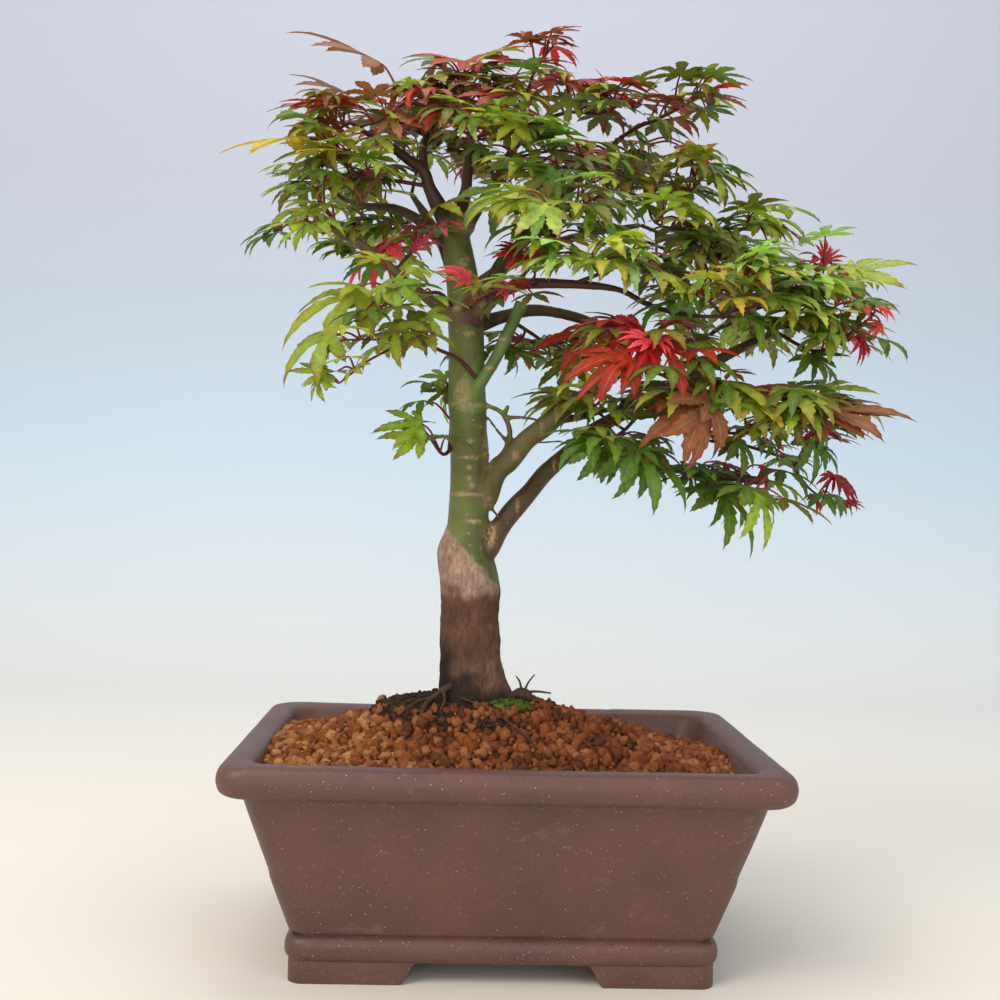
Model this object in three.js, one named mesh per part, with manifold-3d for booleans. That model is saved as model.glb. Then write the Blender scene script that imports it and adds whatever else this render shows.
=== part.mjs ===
// Japanese maple bonsai growing in a rectangular unglazed stoneware pot.
// Millimetres, +Z up. The model is laid out about the middle of the pot's floor, and the whole group is
// then moved so that its origin is the bottom centre of its bounding box.
import * as THREE from 'three';
import { mergeVertices } from 'three/addons/utils/BufferGeometryUtils.js';
import Module from 'manifold-3d';

const wasm = await Module();
wasm.setup();

// ---- Driving dimensions -----------------------------------------------------------------------------
const GAP = 0.3; // clear space kept between neighbouring pieces
const FINEST = 0.05; // detail smaller than this is smoothed away
const SHORTEST_EDGE = 0.02;
const GRIP = 0.4; // how much wider a piece's mould is when its neighbour is cut to fit round it

const POT = {
  halfLength: 125, halfWidth: 89.6, cornerRadius: 12,
  underside: 9.5, floorTop: 17.5, beadTop: 20.8, lipUnderside: 86.7, rim: 100.6,
  footInset: 29.6, footLengthX: 50, footLengthY: 36, footThickness: 14, footSlope: 7,
  holeRadius: 11, holeOffset: 48,
};
const MESH = { size: 30, thickness: 1.0, bars: 3, barWidth: 3 };
const WIRE = { radius: 0.7, span: 9, legReach: 16 };
const LAYER_TOP = 31; // top of the coarse drainage grit
const SOIL = {
  base: 86.6, tilt: 0.038, mound: 30.5, crestX: -15, reachLeft: 70, reachRight: 106, reachY: 42.5,
};
const BALL = { centreX: -18, top: 120.5, radius: 47, bottom: 62, narrowing: 0.64 };

const COLOUR = {
  stoneware: 0x63483f, plasticMesh: 0x2c2f30, wire: 0xa9adaf, grit: 0xb8b0a0, akadama: 0x8f4d27,
  peat: 0x2e211b, moss: 0x5d7a2a, root: 0x4a3226, bark: 0x6f7f46, limb: 0x6a6238, shadedLimb: 0x4d3a26,
};
const LEAF_COLOUR = {
  green: 0x5a7d2a, lime: 0x93a83c, pale: 0xa4bc74, yellow: 0xb0a43c, olive: 0x86802c,
  bronze: 0xa8653a, orange: 0xb84a20, red: 0xc0202c, crimson: 0xc81e3a, pink: 0xc85a58,
};

// ---- Solids -----------------------------------------------------------------------------------------

/** Makes a solid from a closed three.js geometry, turning its faces outward. */
function solidFrom(geometry) {
  const plain = geometry.clone();
  plain.deleteAttribute('normal');
  plain.deleteAttribute('uv');
  const merged = mergeVertices(plain, 1e-4);
  const vertProperties = new Float32Array(merged.attributes.position.array);
  const triVerts = new Uint32Array(merged.index.array);
  const solid = new wasm.Manifold(new wasm.Mesh({ numProp: 3, vertProperties, triVerts }));
  if (solid.volume() > 0) return solid;
  for (let i = 0; i < triVerts.length; i += 3) {
    [triVerts[i], triVerts[i + 1]] = [triVerts[i + 1], triVerts[i]];
  }
  return new wasm.Manifold(new wasm.Mesh({ numProp: 3, vertProperties, triVerts }));
}

/** Joins rings of points, all with the same number of points, into a closed skin with capped ends. */
function loft(rings) {
  const count = rings[0].length;
  const points = rings.flat();
  const centreOf = (ring) => ring.reduce((sum, p) => sum.add(p), new THREE.Vector3()).divideScalar(count);
  const first = points.push(centreOf(rings[0])) - 1;
  const last = points.push(centreOf(rings.at(-1))) - 1;
  const faces = [];
  for (let i = 0; i < count; i++) {
    const j = (i + 1) % count;
    for (let r = 0; r + 1 < rings.length; r++) {
      const [a, b] = [r * count, (r + 1) * count];
      faces.push(a + i, a + j, b + j, a + i, b + j, b + i);
    }
    const end = (rings.length - 1) * count;
    faces.push(first, j, i, last, end + i, end + j);
  }
  const geometry = new THREE.BufferGeometry().setFromPoints(points);
  geometry.setIndex(faces);
  return solidFrom(geometry);
}

/** A rounded rectangle of points at one height, anticlockwise seen from above. */
function roundedRing(halfX, halfY, radius, z, perCorner = 5) {
  const ring = [];
  for (const [sx, sy, start] of [[1, 1, 0], [-1, 1, 90], [-1, -1, 180], [1, -1, 270]]) {
    for (let i = 0; i < perCorner; i++) {
      const angle = THREE.MathUtils.degToRad(start + (90 * i) / (perCorner - 1));
      const x = sx * (halfX - radius) + radius * Math.cos(angle);
      const y = sy * (halfY - radius) + radius * Math.sin(angle);
      ring.push(new THREE.Vector3(x, y, z));
    }
  }
  return ring;
}

/** A smooth curve through a list of [x, y, z] points. */
function curveThrough(route) {
  return new THREE.CatmullRomCurve3(route.map((p) => new THREE.Vector3(...p)), false, 'centripetal');
}

/** A woody tube along a route, its radius running through the given radii, both ends closed. */
function taperedTube(route, radii, sides = 6, stepsPerLeg = 2, grow = 0) {
  const curve = curveThrough(route);
  const steps = (route.length - 1) * stepsPerLeg;
  const normal = new THREE.Vector3(0.05, -1, 0.1);
  const rings = [];
  for (let s = 0; s <= steps; s++) {
    const t = s / steps;
    const centre = curve.getPoint(t);
    const tangent = curve.getTangent(t);
    normal.addScaledVector(tangent, -normal.dot(tangent)).normalize();
    const side = new THREE.Vector3().crossVectors(tangent, normal);
    const place = t * (radii.length - 1);
    const low = Math.min(Math.floor(place), radii.length - 2);
    const radius = THREE.MathUtils.lerp(radii[low], radii[low + 1], place - low) + grow;
    rings.push(Array.from({ length: sides }, (_, i) => {
      const angle = (2 * Math.PI * i) / sides;
      return centre.clone()
        .addScaledVector(normal, radius * Math.cos(angle))
        .addScaledVector(side, radius * Math.sin(angle));
    }));
  }
  return loft(rings);
}

/** The biggest single body of a solid that a cut may have left in several. */
function largestBody(solid) {
  return solid.decompose().sort((a, b) => b.volume() - a.volume())[0];
}

/** The shortest edge of a solid: a very short one can close up when the corners are rounded in a file. */
function shortestEdge(solid) {
  const { vertProperties: p, triVerts } = solid.getMesh();
  const corner = (index) => new THREE.Vector3(...p.subarray(3 * index, 3 * index + 3));
  let shortest = Infinity;
  triVerts.forEach((index, i) => {
    const next = triVerts[i % 3 === 2 ? i - 2 : i + 1];
    shortest = Math.min(shortest, corner(index).distanceTo(corner(next)));
  });
  return shortest;
}

/** A moved copy of a solid. */
const moved = (solid, x, y, z) => solid.translate([x, y, z]);

/** A solid box given by its low and high corners. */
function box(low, high) {
  const size = high.map((value, axis) => value - low[axis]);
  const geometry = new THREE.BoxGeometry(...size);
  geometry.translate(...low.map((value, axis) => value + size[axis] / 2));
  return solidFrom(geometry);
}

/** A solid turned about the vertical from a closed list of [radius, z] points. */
function turned(profile, segments) {
  const points = profile.map(([radius, z]) => new THREE.Vector2(radius, z));
  return solidFrom(new THREE.LatheGeometry(points, segments).rotateX(Math.PI / 2));
}

// ---- The model --------------------------------------------------------------------------------------
const model = new THREE.Group();

/** Adds a named piece with its own material to the model. */
function addPiece(name, solid, colour, roughness = 0.8) {
  const mesh = largestBody(solid.simplify(FINEST)).getMesh();
  const geometry = new THREE.BufferGeometry();
  geometry.setAttribute('position', new THREE.BufferAttribute(new Float32Array(mesh.vertProperties), 3));
  geometry.setIndex(new THREE.BufferAttribute(new Uint32Array(mesh.triVerts), 1));
  geometry.computeVertexNormals();
  const piece = new THREE.Mesh(geometry, new THREE.MeshStandardMaterial({ color: colour, roughness }));
  piece.name = name;
  model.add(piece);
}

// ---- Pot --------------------------------------------------------------------------------------------

/** How far the inside wall stands in from the rim's outer edge at a height. */
function innerInset(z) {
  const { lerp, clamp } = THREE.MathUtils;
  return lerp(37, 14.6, clamp((z - POT.floorTop) / (POT.rim - POT.floorTop), 0, 1));
}

/** A ring of the pot standing in from the rim's outer edge. */
function potRing(inset, z, radius = POT.cornerRadius) {
  return roundedRing(POT.halfLength - inset, POT.halfWidth - inset, radius, z);
}

/** One leg of a foot: a bar with an S-shaped free end, standing along +X from the corner. */
function footLeg(length) {
  const { footSlope: slope, footThickness, underside } = POT;
  const top = underside + 2;
  const outline = new THREE.Shape();
  outline.moveTo(0, 0);
  outline.lineTo(length, 0);
  outline.bezierCurveTo(length + slope * 0.6, 0, length + slope * 0.3, underside, length + slope, underside);
  outline.lineTo(length + slope, top);
  outline.lineTo(0, top);
  const extrusion = { depth: footThickness, bevelEnabled: false, curveSegments: 5 };
  const bar = new THREE.ExtrudeGeometry(outline, extrusion);
  return solidFrom(bar.rotateX(Math.PI / 2).translate(0, footThickness, 0));
}

/** The pot: tapered walls under a rolled lip, a bead round the base and four corner feet. */
function makePot() {
  const { underside, floorTop, beadTop, lipUnderside, rim, footInset, halfLength, halfWidth } = POT;
  const outside = [
    [31, underside], [28.4, underside + 1], [27.5, 13.5], [27.6, 17], [28.6, 20], [30.4, beadTop],
    [28.6, 23], [9.4, lipUnderside - 0.8], [4.2, lipUnderside], [1.2, 89], [0, 92.5], [0.3, 96.5],
    [1.6, 99.4], [4, rim],
  ];
  const inside = [[11.5, rim], [13.8, 99.6], [innerInset(97), 97], [innerInset(22), 22], [40, floorTop]];
  const body = loft([...outside, ...inside].map(([inset, z]) => potRing(inset, z)));
  const [cornerX, cornerY] = [halfLength - footInset, halfWidth - footInset];
  const frontLeg = footLeg(POT.footLengthX);
  const sideLeg = footLeg(POT.footLengthY).rotate([0, 0, 90]).mirror([1, 0, 0]);
  const foot = moved(frontLeg.add(sideLeg), -cornerX, -cornerY, 0);
  const feet = foot.add(foot.mirror([1, 0, 0])).add(foot.mirror([0, 1, 0]))
    .add(foot.mirror([1, 0, 0]).mirror([0, 1, 0]));
  const drill = new THREE.CylinderGeometry(POT.holeRadius, POT.holeRadius, 20, 20).rotateX(Math.PI / 2);
  const hole = moved(solidFrom(drill), POT.holeOffset, 0, (underside + floorTop) / 2);
  return body.add(feet).subtract(hole).subtract(hole.mirror([1, 0, 0]));
}

/** A square plastic screen that lies over a drain hole. */
function makeScreen() {
  const { size, bars, barWidth, thickness } = MESH;
  const pitch = (size - barWidth) / bars;
  const half = (pitch - barWidth) / 2;
  let screen = box([-size / 2, -size / 2, 0], [size / 2, size / 2, thickness]);
  for (let row = 0; row < bars; row++) {
    for (let column = 0; column < bars; column++) {
      const [x, y] = [column, row].map((step) => (step - (bars - 1) / 2) * pitch);
      screen = screen.subtract(box([x - half, y - half, -1], [x + half, y + half, thickness + 1]));
    }
  }
  return screen;
}

/** A bent wire staple that holds a screen down through the drain hole. */
function makeStaple(screenTop) {
  const { radius, span, legReach } = WIRE;
  const [over, under] = [screenTop + GAP + radius, POT.underside - GAP - radius - 0.4];
  const route = [
    [-legReach, 0, under], [-span - 1, 0, under], [-span, 0, under + 1.5], [-span, 0, over - 1.5],
    [-span + 1, 0, over], [span - 1, 0, over], [span, 0, over - 1.5], [span, 0, under + 1.5],
    [span + 1, 0, under], [legReach, 0, under],
  ];
  const points = route.map((p) => new THREE.Vector3(...p));
  const curve = new THREE.CatmullRomCurve3(points, false, 'catmullrom', 0.2);
  const section = new THREE.Shape().absarc(0, 0, radius, 0, 2 * Math.PI);
  const wire = { steps: 18, extrudePath: curve, curveSegments: 3 };
  return solidFrom(new THREE.ExtrudeGeometry(section, wire));
}

// ---- Soil -------------------------------------------------------------------------------------------

/** Height of the soil's surface. */
function soilHeight(x, y) {
  const reach = x < SOIL.crestX ? SOIL.reachLeft : SOIL.reachRight;
  const across = Math.hypot((x - SOIL.crestX) / reach, y / SOIL.reachY);
  return SOIL.base - SOIL.tilt * x + SOIL.mound / (1 + across ** 3);
}

/** The old root ball, a squat dome; grow makes it wider all round. */
function rootBall(grow = 0) {
  const { top, radius, bottom, centreX, narrowing } = BALL;
  const profile = [
    [0, bottom - grow], [radius * 0.8, bottom + 4 - grow], [radius + grow, 82], [radius + grow, 104],
    [radius * 0.9 + grow, top - 5.4 + grow / 2], [radius * 0.72, top - 2.5 + grow],
    [radius * 0.42, top - 0.7 + grow], [0, top + grow],
  ];
  return moved(turned(profile, 24).scale([1, narrowing, 1]), centreX, 0, 0);
}

/** The akadama bed: grit level below, the mounded surface above, the wall's outline round it. */
function makeSoil(ball) {
  const bands = 6;
  const outline = (z) => potRing(innerInset(z) + GAP + 0.1, z);
  const edge = outline(90).map((point, index) => {
    let height = soilHeight(point.x, point.y);
    for (let pass = 0; pass < 3; pass++) {
      const { x, y } = outline(height)[index];
      height = soilHeight(x, y);
    }
    return outline(height)[index];
  });
  const rings = [outline(LAYER_TOP + GAP), edge];
  for (let band = 1; band < bands; band++) {
    rings.push(edge.map((point) => {
      const [x, y] = [point.x, point.y].map((value) => value * (1 - band / bands));
      return new THREE.Vector3(x, y, soilHeight(x, y));
    }));
  }
  return loft(rings).subtract(ball);
}

/** The grit layer, hollowed where the screens and their wires stand. */
function makeDrainageLayer(wireTop) {
  const outline = (z) => potRing(innerInset(z) + GAP + 0.2, z);
  const bottom = POT.floorTop + GAP;
  const slab = loft([potRing(40.4, bottom), outline(23), outline(LAYER_TOP)]);
  const reach = MESH.size / 2 + GAP;
  const pocket = (x) => box([x - reach, -reach, bottom - 1], [x + reach, reach, wireTop + GAP]);
  return slab.subtract(pocket(-POT.holeOffset)).subtract(pocket(POT.holeOffset));
}

// ---- Wood -------------------------------------------------------------------------------------------
const TRUNK = {
  route: [
    [-14, 0, 104], [-15, 0, 120], [-17, 0, 137], [-18, 0, 166], [-19, 0, 179], [-21, 0, 189],
    [-20, 0, 201], [-20, 0, 225], [-21, 0, 245], [-22, 0, 264], [-23, 0, 284], [-24, 0, 304],
    [-26, 0, 323], [-30, 0, 343], [-32, 0, 355],
  ],
  radii: [18.5, 16.2, 14.4, 13.7, 13.6, 12.2, 10.2, 9.4, 9.1, 9.2, 8.8, 8.7, 7.9, 7, 6.2],
};

const LIMBS = [
  { name: 'limb_low_right', arms: [
    { radii: [5.4, 5, 4.7, 4.3, 4.1, 3.9, 3.4, 3, 2.6, 1.8], route: [
      [-12, 0, 190], [-1, 3, 207], [10, 6, 220], [18, 9, 230], [31, 12, 242], [42, 14, 252], [65, 14, 266],
      [90, 12, 281], [114, 10, 295], [132, 10, 304]] },
    { radii: [2.8, 2.6, 2.4, 2.2, 2.1], route: [
      [39, 13, 249], [46, 8, 238], [61, 0, 235], [80, -8, 233], [120, -22, 228]] },
  ] },
  { name: 'limb_middle_right', arms: [
    { radii: [5.6, 5.4, 5.2, 5.1, 4.9, 4.4, 3.4, 2.6, 1.8], route: [
      [-13, -3, 216], [-7, -5, 229], [-1, -7, 235], [7, -9, 245], [16, -12, 252], [23, -15, 259],
      [36, -22, 268], [49, -30, 277], [62, -34, 287]] },
    { radii: [2.2, 1.8, 1.4, 1], route: [[21, -13, 255], [33, -10, 257], [46, -4, 261], [64, 2, 264]] },
  ] },
  { name: 'limb_green_stub', arms: [
    { radii: [4.2, 3.4, 3.1, 3.1, 3.3], route: [
      [-22, -5, 263], [-17, -8, 271], [-10, -10, 282], [-4, -11, 295], [3, -12, 311]] },
  ] },
  { name: 'limb_upper_right', arms: [
    { radii: [4.8, 4.2, 3.8, 3.4, 2.8, 2.4, 2, 1.5], route: [
      [-21, 3, 305], [-14, 5, 317], [-6, 8, 334], [2, 10, 343], [16, 14, 360], [29, 16, 376], [42, 16, 389],
      [51, 12, 399]] },
  ] },
  { name: 'limb_level_right', arms: [
    { radii: [3.8, 3.6, 3.4, 3, 2.6, 2.2, 1.8, 1.4], route: [
      [-22, 7, 300], [-14, 10, 304], [-4, 13, 308], [12, 17, 312], [34, 20, 309], [56, 28, 302],
      [80, 36, 300], [105, 42, 304]] },
  ] },
  { name: 'limb_long_right', arms: [
    { radii: [3.2, 3, 2.8, 2.4, 1.6, 1.4, 1.2, 1], route: [
      [-22, -6, 305], [-12, -10, 312], [0, -14, 319], [22, -22, 319], [46, -30, 316], [61, -36, 308],
      [78, -42, 303], [99, -48, 302]] },
  ] },
  { name: 'limb_left', arms: [
    { radii: [3.4, 2.8, 2.6, 2.4, 2.4, 2.2, 2.1, 1.9, 1.3], route: [
      [-28, -2, 303], [-42, -6, 312], [-49, -8, 317], [-56, -10, 322], [-66, -12, 330], [-75, -14, 336],
      [-83, -15, 340], [-90, -15, 344], [-94, -14, 350]] },
  ] },
  { name: 'limb_upper_left', arms: [
    { radii: [3.2, 3, 2.6, 2.2, 1.8, 1.3], route: [
      [-32, 2, 341], [-42, 4, 348], [-53, 8, 356], [-63, 12, 360], [-76, 18, 362], [-87, 24, 366]] },
  ] },
  { name: 'limb_top_left', arms: [
    { radii: [4, 3.4, 2.9, 2.5, 2.1, 1.5], route: [
      [-34, -2, 350], [-43, -4, 366], [-46, -5, 374], [-54, -8, 379], [-64, -12, 385], [-74, -16, 389]] },
    { radii: [2.4, 2.1, 1.4], route: [[-45, -4, 370], [-47, -4, 385], [-44, -2, 395]] },
  ] },
  { name: 'limb_top_centre', arms: [
    { radii: [4.2, 3.2, 2.8, 2.3, 1.5], route: [
      [-31, 0, 351], [-26, 2, 365], [-25, 3, 375], [-24, 4, 388], [-25, 5, 401]] },
  ] },
  { name: 'limb_top_right', arms: [
    { radii: [4, 3, 2.8, 2.4, 2, 1.5], route: [
      [-28, 3, 347], [-18, 6, 362], [-10, 8, 375], [-6, 9, 385], [1, 8, 395], [13, 5, 405]] },
  ] },
  { name: 'limb_back_left', arms: [
    { radii: [3.6, 3, 2.4, 1.5], route: [[-30, 5, 328], [-38, 28, 348], [-47, 50, 366], [-55, 66, 380]] },
  ] },
  { name: 'limb_back_right', arms: [
    { radii: [4, 3.4, 2.8, 2.2, 1.5], route: [
      [-24, 5, 316], [-7, 30, 334], [15, 52, 350], [42, 66, 362], [71, 72, 369]] },
  ] },
];

const ROOTS = [
  { name: 'root_left', radii: [2.4, 1.9, 1.6, 1.3], route: [
    [-27, -12, 125], [-35, -17, 120.5], [-39, -22, 118.5], [-41, -27, 112.5]] },
  { name: 'root_right', radii: [1.6, 2.6, 1.5, 0.7], route: [
    [2, -8, 120.5], [7, -10, 122], [12, -11, 122], [17, -12, 120]] },
];

// ---- Leafy shoots -----------------------------------------------------------------------------------
// Each shoot is one grown piece: a twig that leaves its limb, its forks (each starting at a fraction of the
// way along the twig), the leaves whose places are known, given as [foot of the blade, tip of the middle
// lobe], and a number of extra leaves set in opposite pairs along the twigs.
const SHOOTS = [
  {
    name: 'shoot_top_left_high', hue: 'bronze', size: 19, extra: 7,
    stem: [
      [-44, -3, 394], [-41, -6, 403], [-51, -10, 410], [-61, -12, 414]
    ],
    forks: [
      [0.35, [-37, 2, 412], [-32, 8, 419]],
    ],
    leaves: [
      [[-70, -14, 424], [-110, -20, 432]], [[-42, 0, 423], [-14, 2, 421]],
      [[-33, 8, 426], [-54, 12, 418]]
    ],
  },
  {
    name: 'shoot_top_left_outer', hue: 'orange', size: 19, extra: 4,
    stem: [
      [-74, -16, 389], [-81, -20, 392], [-87, -24, 388], [-92, -26, 394]
    ],
    forks: [
      [0.2, [-67, -22, 393], [-62, -28, 395]],
    ],
    leaves: [
      [[-94, -28, 399], [-111, -34, 394]], [[-87, -14, 409], [-111, -12, 415]],
      [[-61, -32, 394], [-82, -38, 399]], [[-61, -34, 391], [-45, -40, 382]]
    ],
  },
  {
    name: 'shoot_left_far', hue: 'yellow', size: 21, extra: 4,
    stem: [
      [-43, -5, 367], [-60, -10, 368], [-76, -18, 367], [-83, -26, 375], [-89, -30, 380],
      [-99, -34, 380]
    ],
    forks: [],
    leaves: [
      [[-103, -36, 380], [-137, -42, 365]], [[-84, -36, 382], [-90, -44, 364]],
      [[-69, -30, 383], [-48, -36, 375]]
    ],
  },
  {
    name: 'shoot_left_upper', hue: 'green', size: 19, extra: 4,
    stem: [
      [-87, 24, 366], [-94, 20, 370], [-101, 14, 373]
    ],
    forks: [
      [0.4, [-83, 4, 369], [-76, -8, 371]],
    ],
    leaves: [
      [[-94, 14, 377], [-121, 12, 372]], [[-87, 0, 369], [-97, -6, 360]],
      [[-100, 16, 369], [-116, 14, 367]], [[-70, -10, 372], [-79, -18, 354]]
    ],
  },
  {
    name: 'shoot_left_tip', hue: 'lime', size: 17, extra: 4,
    stem: [
      [-82, -15, 339], [-89, -20, 348], [-95, -24, 354]
    ],
    forks: [
      [0.4, [-95, -24, 344], [-100, -28, 341]],
      [0.1, [-75, -18, 347], [-74, -22, 358]],
    ],
    leaves: [
      [[-100, -28, 341], [-112, -32, 330]], [[-94, -26, 348], [-109, -30, 345]],
      [[-93, -26, 344], [-97, -32, 333]], [[-79, -20, 342], [-85, -26, 332]]
    ],
  },
  {
    name: 'shoot_left_red', hue: 'pink', size: 18, extra: 4,
    stem: [
      [-59, -9, 324], [-51, -4, 336], [-44, 0, 349]
    ],
    forks: [
      [0.2, [-68, 4, 330], [-74, 12, 333]],
    ],
    leaves: [
      [[-65, 14, 343], [-86, 12, 319]], [[-69, -14, 327], [-83, -20, 318]],
      [[-51, -8, 335], [-37, -12, 342]], [[-55, -8, 328], [-44, -14, 319]]
    ],
  },
  {
    name: 'shoot_left_hanging', hue: 'lime', size: 20, extra: 3,
    stem: [
      [-31, -8, 309], [-37, -14, 314], [-47, -20, 312], [-55, -26, 309], [-66, -32, 302]
    ],
    forks: [
      [0.75, [-58, -38, 310], [-57, -42, 313]],
    ],
    leaves: [
      [[-73, -36, 310], [-109, -42, 287]], [[-57, -44, 313], [-46, -50, 301]],
      [[-63, -44, 312], [-59, -50, 302]], [[-67, -30, 306], [-82, -34, 299]]
    ],
  },
  {
    name: 'shoot_crossing', hue: 'lime', size: 20, extra: 2,
    stem: [
      [-17, -9, 273], [-26, -14, 282], [-36, -20, 286], [-43, -26, 288], [-54, -32, 288],
      [-66, -36, 288], [-78, -40, 287]
    ],
    forks: [
      [0.66, [-67, -36, 279], [-81, -40, 267]],
    ],
    leaves: [
      [[-55, -40, 295], [-57, -46, 276]], [[-86, -42, 289], [-109, -48, 269]],
      [[-42, -34, 301], [-37, -38, 289]], [[-86, -40, 282], [-93, -44, 275]],
      [[-87, -42, 271], [-103, -46, 268]], [[-90, -42, 268], [-90, -48, 259]],
      [[-75, -40, 274], [-73, -46, 271]], [[-51, -38, 297], [-42, -44, 282]]
    ],
  },
  {
    name: 'shoot_trunk_low_left', hue: 'lime', size: 17, extra: 1,
    stem: [
      [-28, -2, 242], [-33, -8, 237], [-39, -12, 244], [-43, -14, 249]
    ],
    forks: [
      [0.2, [-30, 12, 255], [-32, 16, 268]],
    ],
    leaves: [
      [[-44, -16, 251], [-65, -22, 244]], [[-44, -12, 245], [-64, -16, 241]],
      [[-33, 16, 276], [-47, 18, 275]], [[-32, 14, 270], [-46, 16, 266]],
      [[-32, 16, 269], [-35, 18, 252]]
    ],
  },
  {
    name: 'shoot_top_centre', hue: 'orange', size: 20, extra: 6,
    stem: [
      [-25, 5, 401], [-27, 2, 408], [-28, 0, 414], [-28, 0, 421]
    ],
    forks: [
      [0.3, [-21, 10, 411], [-18, 14, 420]],
    ],
    leaves: [
      [[-28, 0, 430], [-53, -4, 428]], [[-27, 2, 431], [5, 4, 437]], [[-19, 14, 433], [-8, 18, 429]],
      [[-40, 16, 436], [-54, 20, 424]]
    ],
  },
  {
    name: 'shoot_top_front', hue: 'lime', size: 19, extra: 6,
    stem: [
      [-24, 2, 388], [-22, -18, 389], [-21, -34, 392]
    ],
    forks: [
      [0.4, [-10, -30, 384], [-3, -42, 386]],
    ],
    leaves: [
      [[-25, -38, 392], [-23, -44, 381]], [[-34, -30, 394], [-42, -36, 388]],
      [[-4, -44, 388], [-22, -50, 380]], [[0, -46, 387], [-4, -52, 375]],
      [[-44, -26, 393], [-52, -32, 386]]
    ],
  },
  {
    name: 'shoot_top_red', hue: 'orange', size: 19, extra: 4,
    stem: [
      [1, 8, 395], [2, 4, 409], [5, 0, 422], [9, -2, 430], [15, -4, 438]
    ],
    forks: [
      [0.3, [-3, -12, 406], [-11, -22, 406]],
    ],
    leaves: [
      [[15, -4, 439], [27, -6, 437]], [[14, -4, 440], [11, -8, 438]],
      [[-11, -26, 406], [-32, -32, 400]], [[0, 2, 417], [-8, -4, 419]], [[1, -18, 408], [9, -24, 398]],
      [[5, 4, 419], [27, 8, 430]]
    ],
  },
  {
    name: 'shoot_top_right_high', hue: 'olive', size: 20, extra: 6,
    stem: [
      [13, 5, 405], [25, 2, 408], [39, 0, 407], [50, -4, 411]
    ],
    forks: [
      [0.25, [20, -6, 409], [24, -10, 416]],
    ],
    leaves: [
      [[24, -10, 417], [22, -12, 425]], [[38, -6, 415], [57, -12, 412]],
      [[58, -4, 414], [71, -8, 424]], [[44, -8, 413], [37, -10, 425]], [[34, 0, 418], [48, 4, 426]],
      [[23, -16, 408], [12, -22, 397]]
    ],
  },
  {
    name: 'shoot_top_right_red', hue: 'red', size: 20, extra: 5,
    stem: [
      [51, 12, 399], [60, 4, 403], [68, -2, 405], [81, -8, 411], [86, -10, 414]
    ],
    forks: [
      [0.2, [62, 22, 402], [71, 30, 401]],
    ],
    leaves: [
      [[88, -10, 416], [111, -12, 420]], [[88, -10, 416], [100, -12, 411]],
      [[66, -4, 405], [80, -8, 394]], [[60, 20, 406], [72, 22, 393]], [[71, -2, 413], [85, -2, 413]],
      [[52, 8, 397], [63, 4, 390]]
    ],
  },
  {
    name: 'shoot_right_crown', hue: 'green', size: 22, extra: 8,
    stem: [
      [29, 16, 376], [51, 4, 370], [67, -6, 365], [82, -14, 367], [88, -18, 374]
    ],
    forks: [
      [0.45, [65, -20, 350], [81, -24, 345]],
    ],
    leaves: [
      [[90, -18, 377], [109, -24, 358]], [[90, -16, 378], [114, -16, 366]],
      [[78, -24, 361], [98, -32, 343]], [[79, -22, 362], [64, -26, 359]],
      [[52, -4, 380], [59, -8, 369]], [[60, 0, 385], [80, -4, 372]], [[81, -24, 350], [91, -30, 336]],
      [[63, -14, 360], [48, -20, 355]]
    ],
  },
  {
    name: 'shoot_centre_front', hue: 'lime', size: 22, extra: 6,
    stem: [
      [0, -14, 320], [12, -28, 334], [22, -42, 347], [35, -52, 354]
    ],
    forks: [
      [0.55, [13, -52, 341], [13, -62, 346]],
    ],
    leaves: [
      [[11, -64, 346], [-16, -72, 335]], [[11, -64, 346], [5, -72, 331]],
      [[26, -56, 353], [32, -62, 352]], [[15, -60, 347], [16, -64, 357]],
      [[30, -54, 349], [42, -62, 334]], [[37, -54, 352], [47, -60, 343]]
    ],
  },
  {
    name: 'shoot_centre_high', hue: 'green', size: 20, extra: 6,
    stem: [
      [-8, 9, 385], [0, -15, 380], [10, -40, 369], [15, -54, 361]
    ],
    forks: [
      [0.3, [18, -26, 381], [31, -40, 374]],
    ],
    leaves: [
      [[10, -56, 361], [-10, -62, 356]], [[14, -56, 363], [2, -62, 353]],
      [[-10, -44, 357], [-27, -52, 340]], [[41, -46, 364], [30, -50, 362]],
      [[28, -44, 373], [39, -50, 366]], [[-19, -20, 383], [-30, -24, 376]]
    ],
  },
  {
    name: 'shoot_trunk_front', hue: 'red', size: 15, extra: 1,
    stem: [
      [11, -18, 320], [1, -26, 315], [-6, -30, 311]
    ],
    forks: [
      [0.3, [8, -26, 323], [3, -30, 328]],
    ],
    leaves: [
      [[1, -30, 331], [-11, -36, 328]], [[1, -30, 331], [-12, -32, 334]],
      [[5, -26, 333], [21, -30, 336]], [[-22, -34, 318], [-39, -38, 317]],
      [[-4, -36, 316], [-9, -42, 308]], [[-4, -36, 317], [5, -42, 312]],
      [[-18, -34, 317], [-26, -38, 312]]
    ],
  },
  {
    name: 'shoot_centre_right', hue: 'pale', size: 20, extra: 6,
    stem: [
      [27, -24, 319], [37, -40, 321], [48, -54, 324], [57, -62, 323]
    ],
    forks: [
      [0.4, [32, -54, 322], [29, -62, 323]],
    ],
    leaves: [
      [[46, -64, 325], [35, -72, 314]], [[46, -64, 325], [46, -72, 309]],
      [[47, -64, 325], [60, -72, 313]], [[28, -66, 323], [23, -74, 314]],
      [[28, -66, 323], [17, -70, 320]], [[29, -64, 324], [34, -70, 316]],
      [[62, -60, 319], [71, -68, 308]], [[54, -50, 335], [37, -54, 337]]
    ],
  },
  {
    name: 'shoot_centre_low', hue: 'green', size: 18, extra: 3,
    stem: [
      [-4, 10, 307], [9, 14, 300], [16, 16, 296], [25, 18, 293], [36, 20, 284]
    ],
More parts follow.
